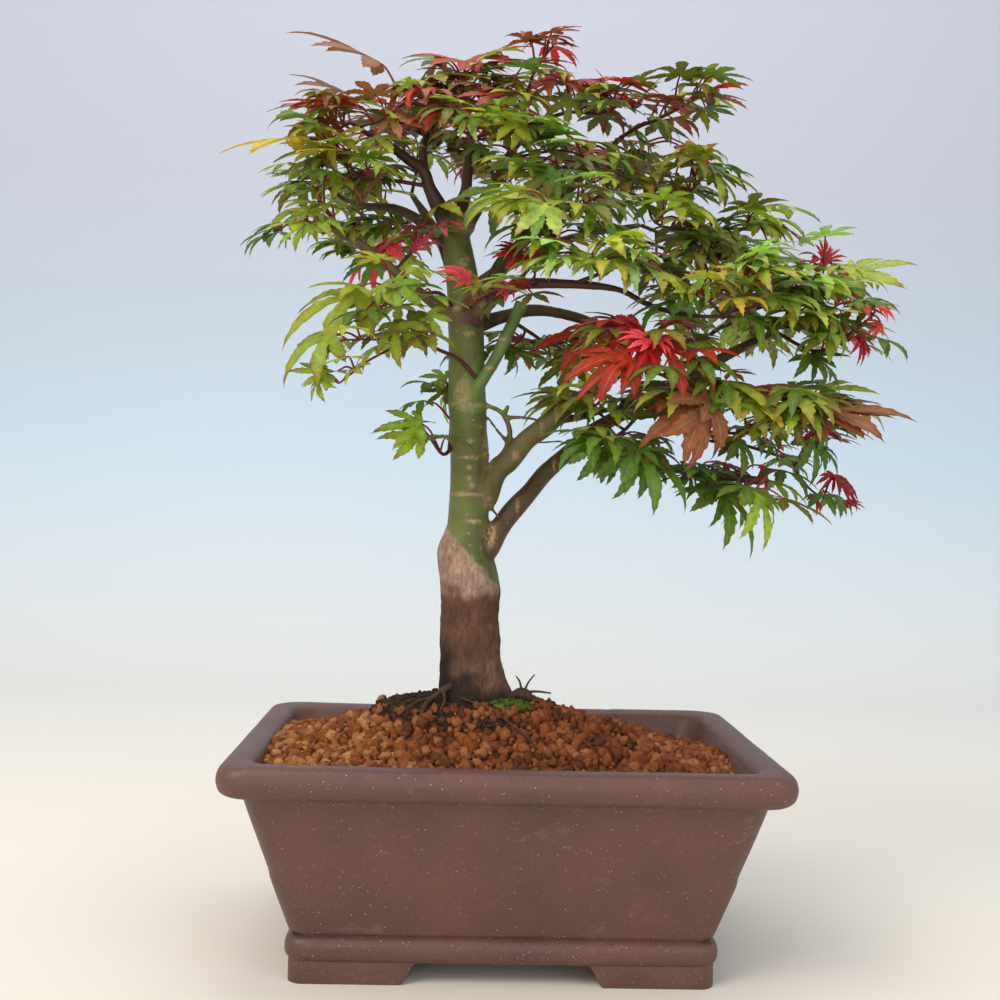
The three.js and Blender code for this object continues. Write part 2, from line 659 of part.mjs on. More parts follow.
    forks: [
      [0.2, [5, 20, 298], [1, 24, 295]],
    ],
    leaves: [
      [[0, 26, 293], [18, 28, 285]], [[0, 26, 292], [5, 28, 279]], [[-2, 24, 292], [-14, 22, 291]],
      [[30, 18, 287], [14, 16, 273]], [[41, -10, 299], [11, -16, 287]]
    ],
  },
  {
    name: 'shoot_right_upper', hue: 'green', size: 22, extra: 8,
    stem: [
      [42, 66, 367], [66, 34, 353], [88, 10, 340], [100, -4, 346], [115, -14, 353]
    ],
    forks: [
      [0.55, [91, -14, 333], [96, -30, 332]],
    ],
    leaves: [
      [[115, -16, 354], [133, -20, 343]], [[115, -16, 354], [129, -22, 344]],
      [[101, -34, 335], [111, -42, 323]], [[101, -34, 335], [89, -40, 330]],
      [[101, -32, 337], [103, -30, 349]], [[117, -12, 351], [114, -10, 362]],
      [[138, -8, 347], [147, -10, 345]], [[123, -10, 341], [129, -16, 328]]
    ],
  },
  {
    name: 'shoot_right_red', hue: 'crimson', size: 21, extra: 6,
    stem: [
      [105, 42, 306], [123, 30, 317], [141, 20, 322], [150, 10, 326], [162, 2, 331]
    ],
    forks: [
      [0.65, [151, 2, 330], [153, 0, 335]],
    ],
    leaves: [
      [[166, 2, 333], [200, 0, 335]], [[166, 2, 332], [185, -2, 330]], [[167, 4, 334], [168, 10, 340]],
      [[150, -2, 339], [141, -6, 342]], [[152, 0, 340], [154, 2, 346]], [[153, 0, 338], [161, 0, 343]],
      [[142, 6, 339], [125, 4, 343]], [[138, 0, 337], [145, -6, 333]]
    ],
  },
  {
    name: 'shoot_right_far', hue: 'crimson', size: 17, extra: 4,
    stem: [
      [132, 10, 304], [142, 0, 296], [150, -8, 293], [162, -14, 301], [169, -18, 307], [173, -20, 312]
    ],
    forks: [
      [0.6, [157, -24, 296], [161, -30, 297]],
    ],
    leaves: [
      [[173, -20, 314], [180, -24, 306]], [[175, -20, 306], [167, -24, 298]],
      [[162, -30, 298], [161, -34, 284]], [[162, -30, 298], [165, -32, 290]],
      [[169, -16, 313], [158, -18, 308]], [[145, -12, 290], [159, -18, 274]],
      [[145, -12, 290], [161, -16, 287]], [[145, -12, 289], [138, -18, 279]]
    ],
  },
  {
    name: 'shoot_right_green', hue: 'green', size: 22, extra: 8,
    stem: [
      [114, 10, 295], [125, -6, 300], [134, -16, 314], [141, -22, 319]
    ],
    forks: [
      [0.45, [136, -20, 303], [147, -30, 306]],
    ],
    leaves: [
      [[128, -20, 325], [163, -28, 315]], [[142, -18, 324], [166, -24, 321]],
      [[128, -30, 314], [114, -36, 312]], [[147, -32, 308], [155, -38, 289]],
      [[143, -34, 304], [152, -40, 296]], [[131, -30, 315], [145, -36, 309]]
    ],
  },
  {
    name: 'shoot_long_right', hue: 'lime', size: 19, extra: 5,
    stem: [
      [94, -47, 302], [102, -50, 311], [100, -52, 318]
    ],
    forks: [
      [0.2, [110, -46, 308], [117, -42, 311]],
      [0.1, [84, -52, 310], [81, -56, 312]],
    ],
    leaves: [
      [[100, -54, 321], [97, -60, 309]], [[100, -54, 321], [87, -60, 316]],
      [[82, -58, 317], [84, -64, 305]], [[106, -48, 303], [121, -56, 289]],
      [[106, -48, 303], [109, -54, 300]], [[75, -60, 312], [61, -66, 314]],
      [[76, -56, 310], [69, -60, 300]]
    ],
  },
  {
    name: 'shoot_crimson', hue: 'crimson', size: 19, extra: 2,
    stem: [
      [62, -34, 287], [59, -46, 288], [55, -58, 289]
    ],
    forks: [
      [0.4, [68, -52, 286], [70, -60, 280]],
    ],
    leaves: [
      [[48, -66, 281], [20, -74, 269]], [[48, -66, 281], [26, -74, 258]],
      [[49, -66, 280], [47, -74, 268]], [[57, -70, 287], [43, -76, 285]],
      [[59, -70, 288], [69, -76, 285]], [[59, -70, 287], [61, -78, 281]],
      [[54, -56, 296], [38, -62, 284]], [[63, -60, 287], [88, -70, 268]],
      [[56, -66, 284], [53, -74, 275]], [[54, -60, 289], [40, -68, 273]]
    ],
  },
  {
    name: 'shoot_low_green', hue: 'green', size: 22, extra: 5,
    stem: [
      [64, 4, 261], [54, -14, 251], [46, -28, 245], [51, -40, 241]
    ],
    forks: [
      [0.4, [40, -16, 259], [33, -20, 263]],
    ],
    leaves: [
      [[57, -44, 240], [38, -50, 227]], [[57, -44, 240], [51, -52, 217]],
      [[57, -44, 240], [81, -52, 217]], [[57, -44, 241], [72, -50, 238]],
      [[46, -30, 245], [27, -36, 235]], [[46, -30, 244], [48, -36, 226]],
      [[33, -24, 262], [36, -30, 252]], [[33, -24, 263], [22, -30, 256]],
      [[27, -16, 267], [11, -20, 258]], [[42, -16, 242], [35, -20, 225]],
      [[67, -30, 232], [61, -36, 219]]
    ],
  },
  {
    name: 'shoot_bronze', hue: 'bronze', size: 24, extra: 5,
    stem: [
      [90, 12, 281], [84, -20, 271], [86, -50, 264]
    ],
    forks: [
      [0.5, [100, -36, 265], [104, -48, 265]],
    ],
    leaves: [
      [[86, -60, 261], [56, -70, 242]], [[86, -60, 261], [82, -70, 230]],
      [[86, -60, 262], [59, -66, 271]], [[87, -58, 262], [91, -60, 267]],
      [[104, -52, 265], [131, -60, 253]], [[104, -52, 265], [122, -60, 253]],
      [[104, -52, 265], [90, -56, 268]], [[107, 0, 282], [118, -6, 279]],
      [[79, -20, 260], [51, -26, 249]]
    ],
  },
  {
    name: 'shoot_bronze_right', hue: 'bronze', size: 23, extra: 6,
    stem: [
      [65, 14, 266], [83, 0, 255], [98, -16, 251], [114, -28, 251], [125, -36, 254], [135, -42, 259]
    ],
    forks: [],
    leaves: [
      [[139, -44, 261], [179, -54, 255]], [[139, -44, 261], [172, -52, 251]],
      [[139, -44, 261], [130, -48, 257]], [[132, -20, 273], [152, -26, 269]],
      [[158, -30, 268], [176, -34, 254]], [[147, -20, 273], [171, -24, 269]],
      [[106, -30, 247], [109, -38, 231]], [[103, -24, 245], [90, -30, 243]],
      [[132, -40, 265], [135, -44, 251]]
    ],
  },
  {
    name: 'shoot_cut_branch', hue: 'green', size: 23, extra: 7,
    stem: [
      [80, -8, 233], [91, -14, 229], [99, -20, 226]
    ],
    forks: [
      [0.5, [109, -30, 225], [114, -36, 223]],
    ],
    leaves: [
      [[99, -22, 226], [99, -30, 206]], [[99, -22, 226], [121, -30, 197]],
      [[99, -22, 226], [79, -26, 233]], [[114, -38, 222], [122, -44, 198]],
      [[108, -34, 224], [116, -38, 216]], [[122, -10, 236], [124, -12, 223]],
      [[86, -12, 233], [88, -16, 218]]
    ],
  },
  {
    name: 'shoot_low_red', hue: 'lime', size: 19, extra: 7,
    stem: [
      [65, 14, 266], [92, 20, 254], [120, 20, 247], [141, 14, 240], [145, 10, 233], [152, 6, 224],
      [162, 2, 219]
    ],
    forks: [
      [0.62, [149, 12, 247], [157, 8, 255]],
    ],
    leaves: [
      [[161, 2, 233], [172, -2, 216]], [[161, 2, 233], [156, -2, 224]], [[165, 2, 219], [168, 0, 218]],
      [[152, 4, 222], [152, 2, 219]], [[150, 4, 250], [155, -2, 229]], [[157, 6, 255], [155, 2, 241]],
      [[156, 8, 247], [166, 6, 240]], [[129, 4, 249], [134, 0, 238]]
    ],
  },
  {
    name: 'shoot_back_top', hue: 'green', size: 21, extra: 12,
    stem: [
      [-55, 66, 380], [-51, 72, 401], [-41, 68, 416]
    ],
    forks: [
      [0.4, [-62, 70, 408], [-70, 66, 414]],
      [0.6, [-24, 60, 420], [-9, 54, 423]],
    ],
    leaves: [],
  },
  {
    name: 'shoot_back_left', hue: 'green', size: 21, extra: 10,
    stem: [
      [-47, 50, 366], [-66, 60, 359], [-87, 62, 356]
    ],
    forks: [
      [0.4, [-72, 64, 376], [-83, 60, 383]],
    ],
    leaves: [],
  },
  {
    name: 'shoot_back_centre', hue: 'olive', size: 21, extra: 13,
    stem: [
      [15, 52, 355], [10, 70, 380], [26, 74, 404]
    ],
    forks: [
      [0.4, [-7, 78, 393], [-18, 80, 401]],
      [0.5, [48, 72, 393], [63, 66, 400]],
    ],
    leaves: [],
  },
  {
    name: 'shoot_back_right', hue: 'green', size: 22, extra: 15,
    stem: [
      [71, 72, 369], [105, 74, 357], [136, 66, 346]
    ],
    forks: [
      [0.2, [83, 74, 334], [99, 70, 312]],
      [0.5, [114, 64, 328], [135, 58, 306]],
    ],
    leaves: [],
  },
];

const LEAF = { thickness: 0.5, petioleWidth: 0.9, extraShare: 0.2, tries: 8 };
const TWIG = { radius: 1.15, tip: 0.6, sides: 5 };
// Outline of a five-lobed blade: [angle from the middle lobe in degrees, distance in lobe lengths].
const LOBES = [[-84, 0.62], [-62, 0.3], [-42, 0.9], [-20, 0.36], [0, 1]];

/** A seeded generator of numbers from 0 to 1, so that every build is the same. */
function makeRandom(seed) {
  let state = seed;
  return () => {
    state = (state * 1664525 + 1013904223) % 4294967296;
    return state / 4294967296;
  };
}

/** A blade and its stalk as one thin lens: foot of the blade, tip of the middle lobe, end of the stalk. */
function makeLeaf(foot, tip, stalkEnd, grow = 0) {
  const ahead = tip.clone().sub(foot);
  const length = ahead.length() + grow * 2;
  ahead.normalize();
  const across = new THREE.Vector3().crossVectors(ahead, new THREE.Vector3(0.15, -0.3, 1)).normalize();
  const up = new THREE.Vector3().crossVectors(across, ahead);
  const droop = 0.16 * length;
  const spot = (degrees, reach) => {
    const angle = THREE.MathUtils.degToRad(degrees);
    return foot.clone()
      .addScaledVector(ahead, Math.cos(angle) * reach * length)
      .addScaledVector(across, Math.sin(angle) * reach * length)
      .addScaledVector(up, -droop * Math.abs(Math.sin(angle)) * reach);
  };
  const rightHalf = LOBES.slice(0, -1).map(([degrees, reach]) => spot(-degrees, reach)).reverse();
  const halfStalk = LEAF.petioleWidth / 2 + grow;
  const outline = [
    stalkEnd.clone().addScaledVector(across, halfStalk), stalkEnd.clone().addScaledVector(across, -halfStalk),
    ...LOBES.map(([degrees, reach]) => spot(degrees, reach)), ...rightHalf,
  ];
  const middle = spot(0, 0.12);
  const top = middle.clone().addScaledVector(up, LEAF.thickness + grow);
  const bottom = middle.clone().addScaledVector(up, -LEAF.thickness - grow);
  const faces = [];
  outline.forEach((_, i) => {
    const j = (i + 1) % outline.length;
    faces.push(i, j, outline.length, j, i, outline.length + 1);
  });
  const geometry = new THREE.BufferGeometry().setFromPoints([...outline, top, bottom]);
  geometry.setIndex(faces);
  return solidFrom(geometry);
}

/** The twigs of a shoot as smooth curves: its stem first, then its forks. */
function twigRoutes({ stem, forks }) {
  const main = curveThrough(stem);
  const branches = forks.map(([start, ...points]) => [main.getPoint(start).toArray(), ...points]);
  return [stem, ...branches];
}

/** The twigs of a shoot as one solid. */
function makeTwigs(routes, grow = 0) {
  return routes
    .map((route, index) => {
      const base = index === 0 ? TWIG.radius : TWIG.radius * 0.8;
      return taperedTube(route, [base, TWIG.tip], TWIG.sides, 1, grow);
    })
    .reduce((all, twig) => all.add(twig));
}

/** The point of a shoot's twigs that is nearest to a place, past the bare start of the stem. */
function nearestOnTwigs(routes, place) {
  const spots = routes.flatMap((route, index) => {
    const curve = curveThrough(route);
    const from = index === 0 ? 0.4 : 0.2;
    return Array.from({ length: 9 }, (_, i) => curve.getPoint(from + ((0.97 - from) * i) / 8));
  });
  return spots.sort((a, b) => a.distanceTo(place) - b.distanceTo(place))[0];
}

/** Places for the extra leaves: opposite pairs that turn a quarter from one pair to the next. */
function extraPlaces(routes, count, size, random) {
  const places = [];
  for (let i = 0; i < count; i++) {
    const route = routes[i % routes.length];
    const curve = curveThrough(route);
    const along = 0.45 + 0.52 * random();
    const turn = Math.PI * (i % 4) * 0.5 + random();
    const start = curve.getPoint(along);
    const tangent = curve.getTangent(along);
    const side = new THREE.Vector3(Math.cos(turn), Math.sin(turn), 0.35).normalize();
    const heading = side.addScaledVector(tangent, 0.6).normalize();
    const foot = start.clone().addScaledVector(heading, size * (0.35 + 0.25 * random()));
    heading.z -= 0.45 + 0.2 * random();
    const tip = foot.clone().addScaledVector(heading.normalize(), size * (0.8 + 0.4 * random()));
    places.push({ foot, tip, start });
  }
  return places;
}

/** Whether a solid is clear of every taken solid. */
function isClear(solid, taken) {
  return taken.every((other) => solid.intersect(other).isEmpty());
}

// ---- Putting it together ----------------------------------------------------------------------------
/** The pot with all that lies in it. Returns the moulds that later pieces on the ground are cut by. */
function addPotAndSoil(trunkMould) {
  const screenTop = POT.floorTop + GAP + MESH.thickness;
  const wireTop = screenTop + GAP + 2 * WIRE.radius;
  addPiece('pot_body', makePot(), COLOUR.stoneware, 0.75);
  for (const [side, sign] of [['left', -1], ['right', 1]]) {
    const x = sign * POT.holeOffset;
    addPiece(`drain_mesh_${side}`, moved(makeScreen(), x, 0, POT.floorTop + GAP), COLOUR.plasticMesh, 0.6);
    addPiece(`mesh_wire_${side}`, moved(makeStaple(screenTop), x, 0, 0), COLOUR.wire, 0.35);
  }
  addPiece('drainage_layer', makeDrainageLayer(wireTop), COLOUR.grit, 0.95);
  const soil = makeSoil(rootBall(GRIP));
  addPiece('soil_bed', soil, COLOUR.akadama, 0.95);
  addPiece('root_ball', rootBall().subtract(trunkMould), COLOUR.peat, 0.95);
  return [rootBall(GRIP), moved(soil, 0, 0, GRIP), trunkMould];
}

/** Moss at the trunk's foot and the two roots that show above the soil, cut to lie on what is there. */
function addGroundTrim(groundMoulds) {
  const cushion = (grow) => solidFrom(
    new THREE.SphereGeometry(1, 14, 8).scale(11 + grow, 8 + grow, 5 + grow).translate(4, -18, 119));
  const seated = (solid, moulds) => moulds.reduce((left, mould) => left.subtract(mould), solid);
  addPiece('moss_patch', seated(cushion(0), groundMoulds), COLOUR.moss, 0.95);
  for (const { name, route, radii } of ROOTS) {
    const root = seated(taperedTube(route, radii, 7, 2), [...groundMoulds, cushion(GRIP)]);
    addPiece(name, root, COLOUR.root, 0.9);
  }
}

/** The limbs, each cut to sit on the trunk and clear of the limbs before it. Returns their moulds. */
function addLimbs(trunkMould) {
  const moulds = [];
  for (const { name, arms } of LIMBS) {
    const build = (grow) => arms
      .map(({ route, radii }) => taperedTube(route, radii, 8, 1, grow))
      .reduce((all, arm) => all.add(arm));
    const limb = moulds.reduce((left, mould) => left.subtract(mould), build(0).subtract(trunkMould));
    addPiece(name, limb, COLOUR.limb, 0.7);
    moulds.push(build(GRIP));
  }
  return moulds;
}

/** The leafy shoots. A leaf that would touch something already there is turned, or left out. */
function addShoots(woodMoulds) {
  const shoots = SHOOTS.map((shoot) => {
    const routes = twigRoutes(shoot);
    return { ...shoot, routes, mould: makeTwigs(routes, GRIP) };
  });
  const stems = [];
  for (const shoot of shoots) {
    for (let attempt = 0; attempt < LEAF.tries; attempt++) {
      const twigs = makeTwigs(shoot.routes, attempt * 0.03);
      const cut = [...woodMoulds, ...stems].reduce((left, mould) => left.subtract(mould), twigs);
      shoot.solid = largestBody(cut.simplify(FINEST));
      if (shortestEdge(shoot.solid) > SHORTEST_EDGE) break;
    }
    stems.push(shoot.mould);
  }
  const blades = [];
  shoots.forEach((shoot, index) => {
    const random = makeRandom(101 + index * 37);
    const others = [...woodMoulds, ...shoots.filter((other) => other !== shoot).map((other) => other.mould)];
    const known = shoot.leaves.map((ends) => {
      const [foot, tip] = ends.map((p) => new THREE.Vector3(...p));
      return { foot, tip, start: nearestOnTwigs(shoot.routes, foot) };
    });
    const allowed = Math.min(SHORTEST_EDGE, shortestEdge(shoot.solid));
    const count = Math.ceil(shoot.extra * LEAF.extraShare);
    for (const place of [...known, ...extraPlaces(shoot.routes, count, shoot.size, random)]) {
      for (let attempt = 0; attempt < LEAF.tries; attempt++) {
        const shift = new THREE.Vector3(random() - 0.5, random() - 0.5, random() - 0.5)
          .multiplyScalar(attempt * 3);
        const [foot, tip] = [place.foot, place.tip].map((p) => p.clone().add(shift));
        const mould = makeLeaf(foot, tip, place.start, GRIP);
        if (!isClear(mould, [...others, ...blades])) continue;
        const joined = shoot.solid.add(makeLeaf(foot, tip, place.start)).simplify(FINEST);
        if (joined.decompose().length > 1 || shortestEdge(joined) < allowed) continue;
        shoot.solid = joined;
        blades.push(mould);
        break;
      }
    }
    addPiece(shoot.name, shoot.solid, LEAF_COLOUR[shoot.hue], 0.6);
  });
}

const trunkMould = taperedTube(TRUNK.route, TRUNK.radii, 14, 1, GRIP);
addGroundTrim(addPotAndSoil(trunkMould));
addPiece('trunk', taperedTube(TRUNK.route, TRUNK.radii, 14, 1), COLOUR.bark, 0.8);
addShoots([trunkMould, ...addLimbs(trunkMould)]);

// The origin is the bottom centre of the whole object's box.
const bounds = new THREE.Box3().setFromObject(model);
const middle = bounds.getCenter(new THREE.Vector3());
model.position.set(-middle.x, -middle.y, -bounds.min.z);
model.updateMatrixWorld(true);

export default model;
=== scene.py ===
"""Maple bonsai in an unglazed stoneware pot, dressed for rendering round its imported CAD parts.

Sizes and routes in the classes are millimetres, measured from the middle of the pot's floor with
+X to the right, +Y to the back and +Z up. ``place`` turns them into metres in the shared frame.
"""

import logging  # noqa: E402
import math  # noqa: E402
import random  # noqa: E402
from dataclasses import dataclass, field  # noqa: E402
from enum import Enum  # noqa: E402
from typing import Any, Iterable, Sequence  # noqa: E402

import bmesh  # noqa: E402
import bpy  # noqa: E402
import numpy as np  # noqa: E402
from bpy.types import Collection, Material, Mesh, Node, NodeSocket, NodeTree, Object  # noqa: E402
from mathutils import Matrix, Vector, kdtree, noise  # noqa: E402


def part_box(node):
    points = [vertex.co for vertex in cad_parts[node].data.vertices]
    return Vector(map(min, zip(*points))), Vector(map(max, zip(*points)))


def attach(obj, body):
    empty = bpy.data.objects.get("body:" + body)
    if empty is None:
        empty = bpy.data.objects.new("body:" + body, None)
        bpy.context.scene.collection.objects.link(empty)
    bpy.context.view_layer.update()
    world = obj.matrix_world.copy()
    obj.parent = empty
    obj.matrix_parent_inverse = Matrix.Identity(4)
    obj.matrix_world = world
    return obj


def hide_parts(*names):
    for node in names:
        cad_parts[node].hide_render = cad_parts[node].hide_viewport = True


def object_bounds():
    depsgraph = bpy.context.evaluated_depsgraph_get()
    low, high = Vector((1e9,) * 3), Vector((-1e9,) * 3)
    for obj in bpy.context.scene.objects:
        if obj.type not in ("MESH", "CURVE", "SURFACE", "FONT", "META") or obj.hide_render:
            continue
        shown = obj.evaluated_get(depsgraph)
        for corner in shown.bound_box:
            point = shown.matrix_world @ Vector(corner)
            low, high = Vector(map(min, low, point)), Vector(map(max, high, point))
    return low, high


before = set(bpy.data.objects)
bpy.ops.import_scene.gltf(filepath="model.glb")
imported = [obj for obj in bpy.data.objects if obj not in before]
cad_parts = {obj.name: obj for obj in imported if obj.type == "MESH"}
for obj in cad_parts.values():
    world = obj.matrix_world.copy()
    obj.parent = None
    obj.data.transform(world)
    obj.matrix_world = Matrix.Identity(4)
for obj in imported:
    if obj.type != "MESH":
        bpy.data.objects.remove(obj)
CAD_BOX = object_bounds()

LOG = logging.getLogger("bonsai")
MM = 0.001
Point = tuple[float, float, float]
Route = list[Point]
Shape = tuple[np.ndarray, list[list[int]]]  # vertices and faces


def pot_centre() -> np.ndarray:
    """Middle of the pot's footprint on the floor, in metres."""
    low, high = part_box("pot_body")
    return np.array([(low.x + high.x) / 2, (low.y + high.y) / 2, 0.0])


CENTRE = pot_centre()


def place(points: Any) -> np.ndarray:
    """Turns millimetres from the pot's middle into metres in the shared frame.

    Args:
        points: one point or an array of points.

    Returns:
        The same points in metres.
    """
    return np.asarray(points, float) * MM + CENTRE


def linear(code: str) -> tuple[float, float, float, float]:
    """Turns an sRGB hex colour into linear RGBA.

    Args:
        code: six hex digits.

    Returns:
        Linear red, green, blue and an alpha of 1.
    """
    values = [int(code[i : i + 2], 16) / 255 for i in (0, 2, 4)]
    r, g, b = (v / 12.92 if v <= 0.04045 else ((v + 0.055) / 1.055) ** 2.4 for v in values)
    return (r, g, b, 1.0)


def add_node(
    tree: NodeTree,
    kind: str,
    settings: dict[str, Any] | None = None,
    inputs: dict[Any, Any] | None = None,
) -> Node:
    """Adds one node with its settings, input values and links.

    Args:
        tree: the node tree it goes into.
        kind: the node's type name.
        settings: properties of the node by name.
        inputs: values, or output sockets to link, by the input's name or number.

    Returns:
        The new node.
    """
    node = tree.nodes.new(kind)
    for name, value in (settings or {}).items():
        setattr(node, name, value)
    for key, value in (inputs or {}).items():
        if isinstance(value, NodeSocket):
            tree.links.new(value, node.inputs[key])
        else:
            node.inputs[key].default_value = value
    return node


def mesh_object(
    name: str,
    vertices: Any,
    faces: Iterable[Sequence[int]],
    material: Material | None = None,
    edges: Iterable[Sequence[int]] = (),
) -> Object:
    """Makes a smooth mesh object at the origin and links it to the scene.

    Args:
        name: the object's name.
        vertices: points in metres.
        faces: vertex numbers of each face, anticlockwise from outside.
        material: what the whole mesh is made of.
        edges: vertex numbers of loose edges.

    Returns:
        The new object.
    """
    mesh = bpy.data.meshes.new(name)
    mesh.from_pydata([tuple(map(float, v)) for v in vertices], [tuple(e) for e in edges],
                     [tuple(f) for f in faces])
    if material is not None:
        mesh.materials.append(material)
    mesh.shade_smooth()
    made = bpy.data.objects.new(name, mesh)
    bpy.context.scene.collection.objects.link(made)
    return made


def store(mesh: Mesh, name: str, kind: str, values: Any) -> None:
    """Stores one value for each vertex of a mesh as a named attribute.

    Args:
        mesh: the mesh that gets it.
        name: the attribute's name.
        kind: FLOAT, INT, BOOLEAN, FLOAT_VECTOR or FLOAT_COLOR.
        values: one row for each vertex.
    """
    attribute = mesh.attributes.new(name, kind, "POINT")
    key = {"FLOAT_VECTOR": "vector", "FLOAT_COLOR": "color"}.get(kind, "value")
    dtype = {"INT": np.int32, "BOOLEAN": bool}.get(kind, np.float32)
    attribute.data.foreach_set(key, np.ascontiguousarray(values, dtype).ravel())


def vertex_array(mesh: Mesh) -> np.ndarray:
    """All vertex positions of a mesh as an array of rows."""
    flat = np.zeros(len(mesh.vertices) * 3, np.float32)
    mesh.vertices.foreach_get("co", flat)
    return flat.reshape(-1, 3).astype(float)


def normal_array(mesh: Mesh) -> np.ndarray:
    """All vertex normals of a mesh as an array of rows."""
    flat = np.zeros(len(mesh.vertices) * 3, np.float32)
    mesh.vertex_normals.foreach_get("vector", flat)
    return flat.reshape(-1, 3).astype(float)


def bake_modifiers(target: Object) -> Object:
    """Replaces an object's mesh by what its modifiers make of it, and removes them."""
    depsgraph = bpy.context.evaluated_depsgraph_get()
    mesh = bpy.data.meshes.new_from_object(
        target.evaluated_get(depsgraph), preserve_all_data_layers=True, depsgraph=depsgraph
    )
    target.modifiers.clear()
    target.data = mesh
    mesh.name = target.name
    return target


def run_tree(
    target: Object, tree: NodeTree, values: dict[str, Any]
) -> Object:
    """Runs a geometry tree on an object and keeps the result as its plain mesh.

    Args:
        target: the object whose mesh goes in.
        tree: the geometry node tree.
        values: what each named input is set to.

    Returns:
        The same object with its new mesh.
    """
    modifier = target.modifiers.new(tree.name, "NODES")
    modifier.node_group = tree
    for item in tree.interface.items_tree:
        if item.item_type == "SOCKET" and item.in_out == "INPUT" and item.name in values:
            modifier[item.identifier] = values[item.name]
    return bake_modifiers(target)


def geometry_tree(name: str, sockets: dict[str, tuple[str, Any]]) -> NodeTree:
    """Starts a geometry tree with a geometry going in and out.

    Args:
        name: the tree's name.
        sockets: the other inputs as name: (socket type, value or None).

    Returns:
        The tree, which holds a group input and a group output node.
    """
    tree = bpy.data.node_groups.new(name, "GeometryNodeTree")
    tree.interface.new_socket("Geometry", in_out="OUTPUT", socket_type="NodeSocketGeometry")
    tree.interface.new_socket("Geometry", in_out="INPUT", socket_type="NodeSocketGeometry")
    for label, (kind, value) in sockets.items():
        socket = tree.interface.new_socket(label, in_out="INPUT", socket_type=kind)
        if value is not None:
            socket.default_value = value
    tree.nodes.new("NodeGroupInput")
    tree.nodes.new("NodeGroupOutput")
    return tree


def smooth_route(route: Sequence[Sequence[float]], steps: int = 4) -> np.ndarray:
    """A smooth line through a list of points.

    Args:
        route: rows of any width: a place, and a radius or other values that follow it.
        steps: how many pieces each leg is cut into.

    Returns:
        The points along the line, both ends included.
    """
    p = np.asarray(route, float)
    if len(p) < 3:
        return np.array([p[0] + (p[-1] - p[0]) * i / steps for i in range(steps + 1)])
    padded = np.vstack([2 * p[0] - p[1], p, 2 * p[-1] - p[-2]])
    line = []
    for a, b, c, d in zip(padded, padded[1:], padded[2:], padded[3:]):
        for t in np.arange(steps) / steps:
            line.append(
                0.5 * (2 * b + (c - a) * t + (2 * a - 5 * b + 4 * c - d) * t**2
                       + (3 * b - a - 3 * c + d) * t**3)
            )
    line.append(p[-1])
    return np.array(line)


def end_tree(tree: NodeTree, *parts: NodeSocket) -> NodeTree:
    """Ends a geometry tree: its parts joined and given the tree's Material.

    Args:
        tree: the tree to end.
        parts: the geometry to join.

    Returns:
        The same tree.
    """
    joined = add_node(tree, "GeometryNodeJoinGeometry")
    for part in parts:
        tree.links.new(part, joined.inputs[0])
    dressed = add_node(tree, "GeometryNodeSetMaterial", None, {
        "Geometry": joined.outputs[0], "Material": tree.nodes["Group Input"].outputs["Material"]})
    tree.links.new(dressed.outputs[0], tree.nodes["Group Output"].inputs[0])
    return tree


def run_rows(route: Sequence[Point], radii: Sequence[float], steps: int) -> np.ndarray:
    """A smooth run of wood as rows of a place and the radius there.

    Args:
        route: the run's points in millimetres.
        radii: the radius at each of them.
        steps: how many pieces each leg is cut into.

    Returns:
        The rows along the run.
    """
    return smooth_route([(*point, radius) for point, radius in zip(route, radii)], steps)


def tube(route: np.ndarray, radii: np.ndarray, sides: int) -> Shape:
    """A closed round tube along a line.

    Args:
        route: the line's points.
        radii: its radius at each point.
        sides: how many sides it has.

    Returns:
        Vertices and faces.
    """
    tangents = np.gradient(route, axis=0)
    tangents /= np.linalg.norm(tangents, axis=1)[:, None]
    normal = np.array([0.05, -1.0, 0.1])
    angles = 2 * math.pi * np.arange(sides) / sides
    vertices = []
    for centre, tangent, radius in zip(route, tangents, radii):
        normal = normal - tangent * (normal @ tangent)
        normal /= np.linalg.norm(normal)
        side = np.cross(tangent, normal)
        ring = np.outer(np.cos(angles), normal) + np.outer(np.sin(angles), side)
        vertices.extend(centre + radius * ring)
    rings = len(route)
    faces = [
        [r * sides + i, r * sides + (i + 1) % sides, (r + 1) * sides + (i + 1) % sides,
         (r + 1) * sides + i]
        for r in range(rings - 1) for i in range(sides)
    ]
    faces.append(list(range(sides))[::-1])
    faces.append([(rings - 1) * sides + i for i in range(sides)])
    return np.array(vertices), faces


def join_parts(parts: Sequence[Shape]) -> Shape:
    """Puts several (vertices, faces) pairs into one."""
    vertices, faces, count = [], [], 0
    for points, polygons in parts:
        vertices.append(points)
        faces.extend([[i + count for i in polygon] for polygon in polygons])
        count += len(points)
    return np.vstack(vertices), faces


def fractal(point: Sequence[float], scale: float, octaves: int = 3) -> float:
    """Layered noise, about -1 to 1, whose largest lumps are ``scale`` long."""
    return noise.fractal(Vector(point) / scale, 0.9, 2.0, octaves, noise_basis="PERLIN_ORIGINAL")


def smoothstep(low: float, high: float, value: Any) -> Any:
    """Rises smoothly from 0 at low to 1 at high."""
    t = np.clip((np.asarray(value, float) - low) / (high - low), 0, 1)
    return t * t * (3 - 2 * t)


# ---- Finishes ---------------------------------------------------------------------------------------


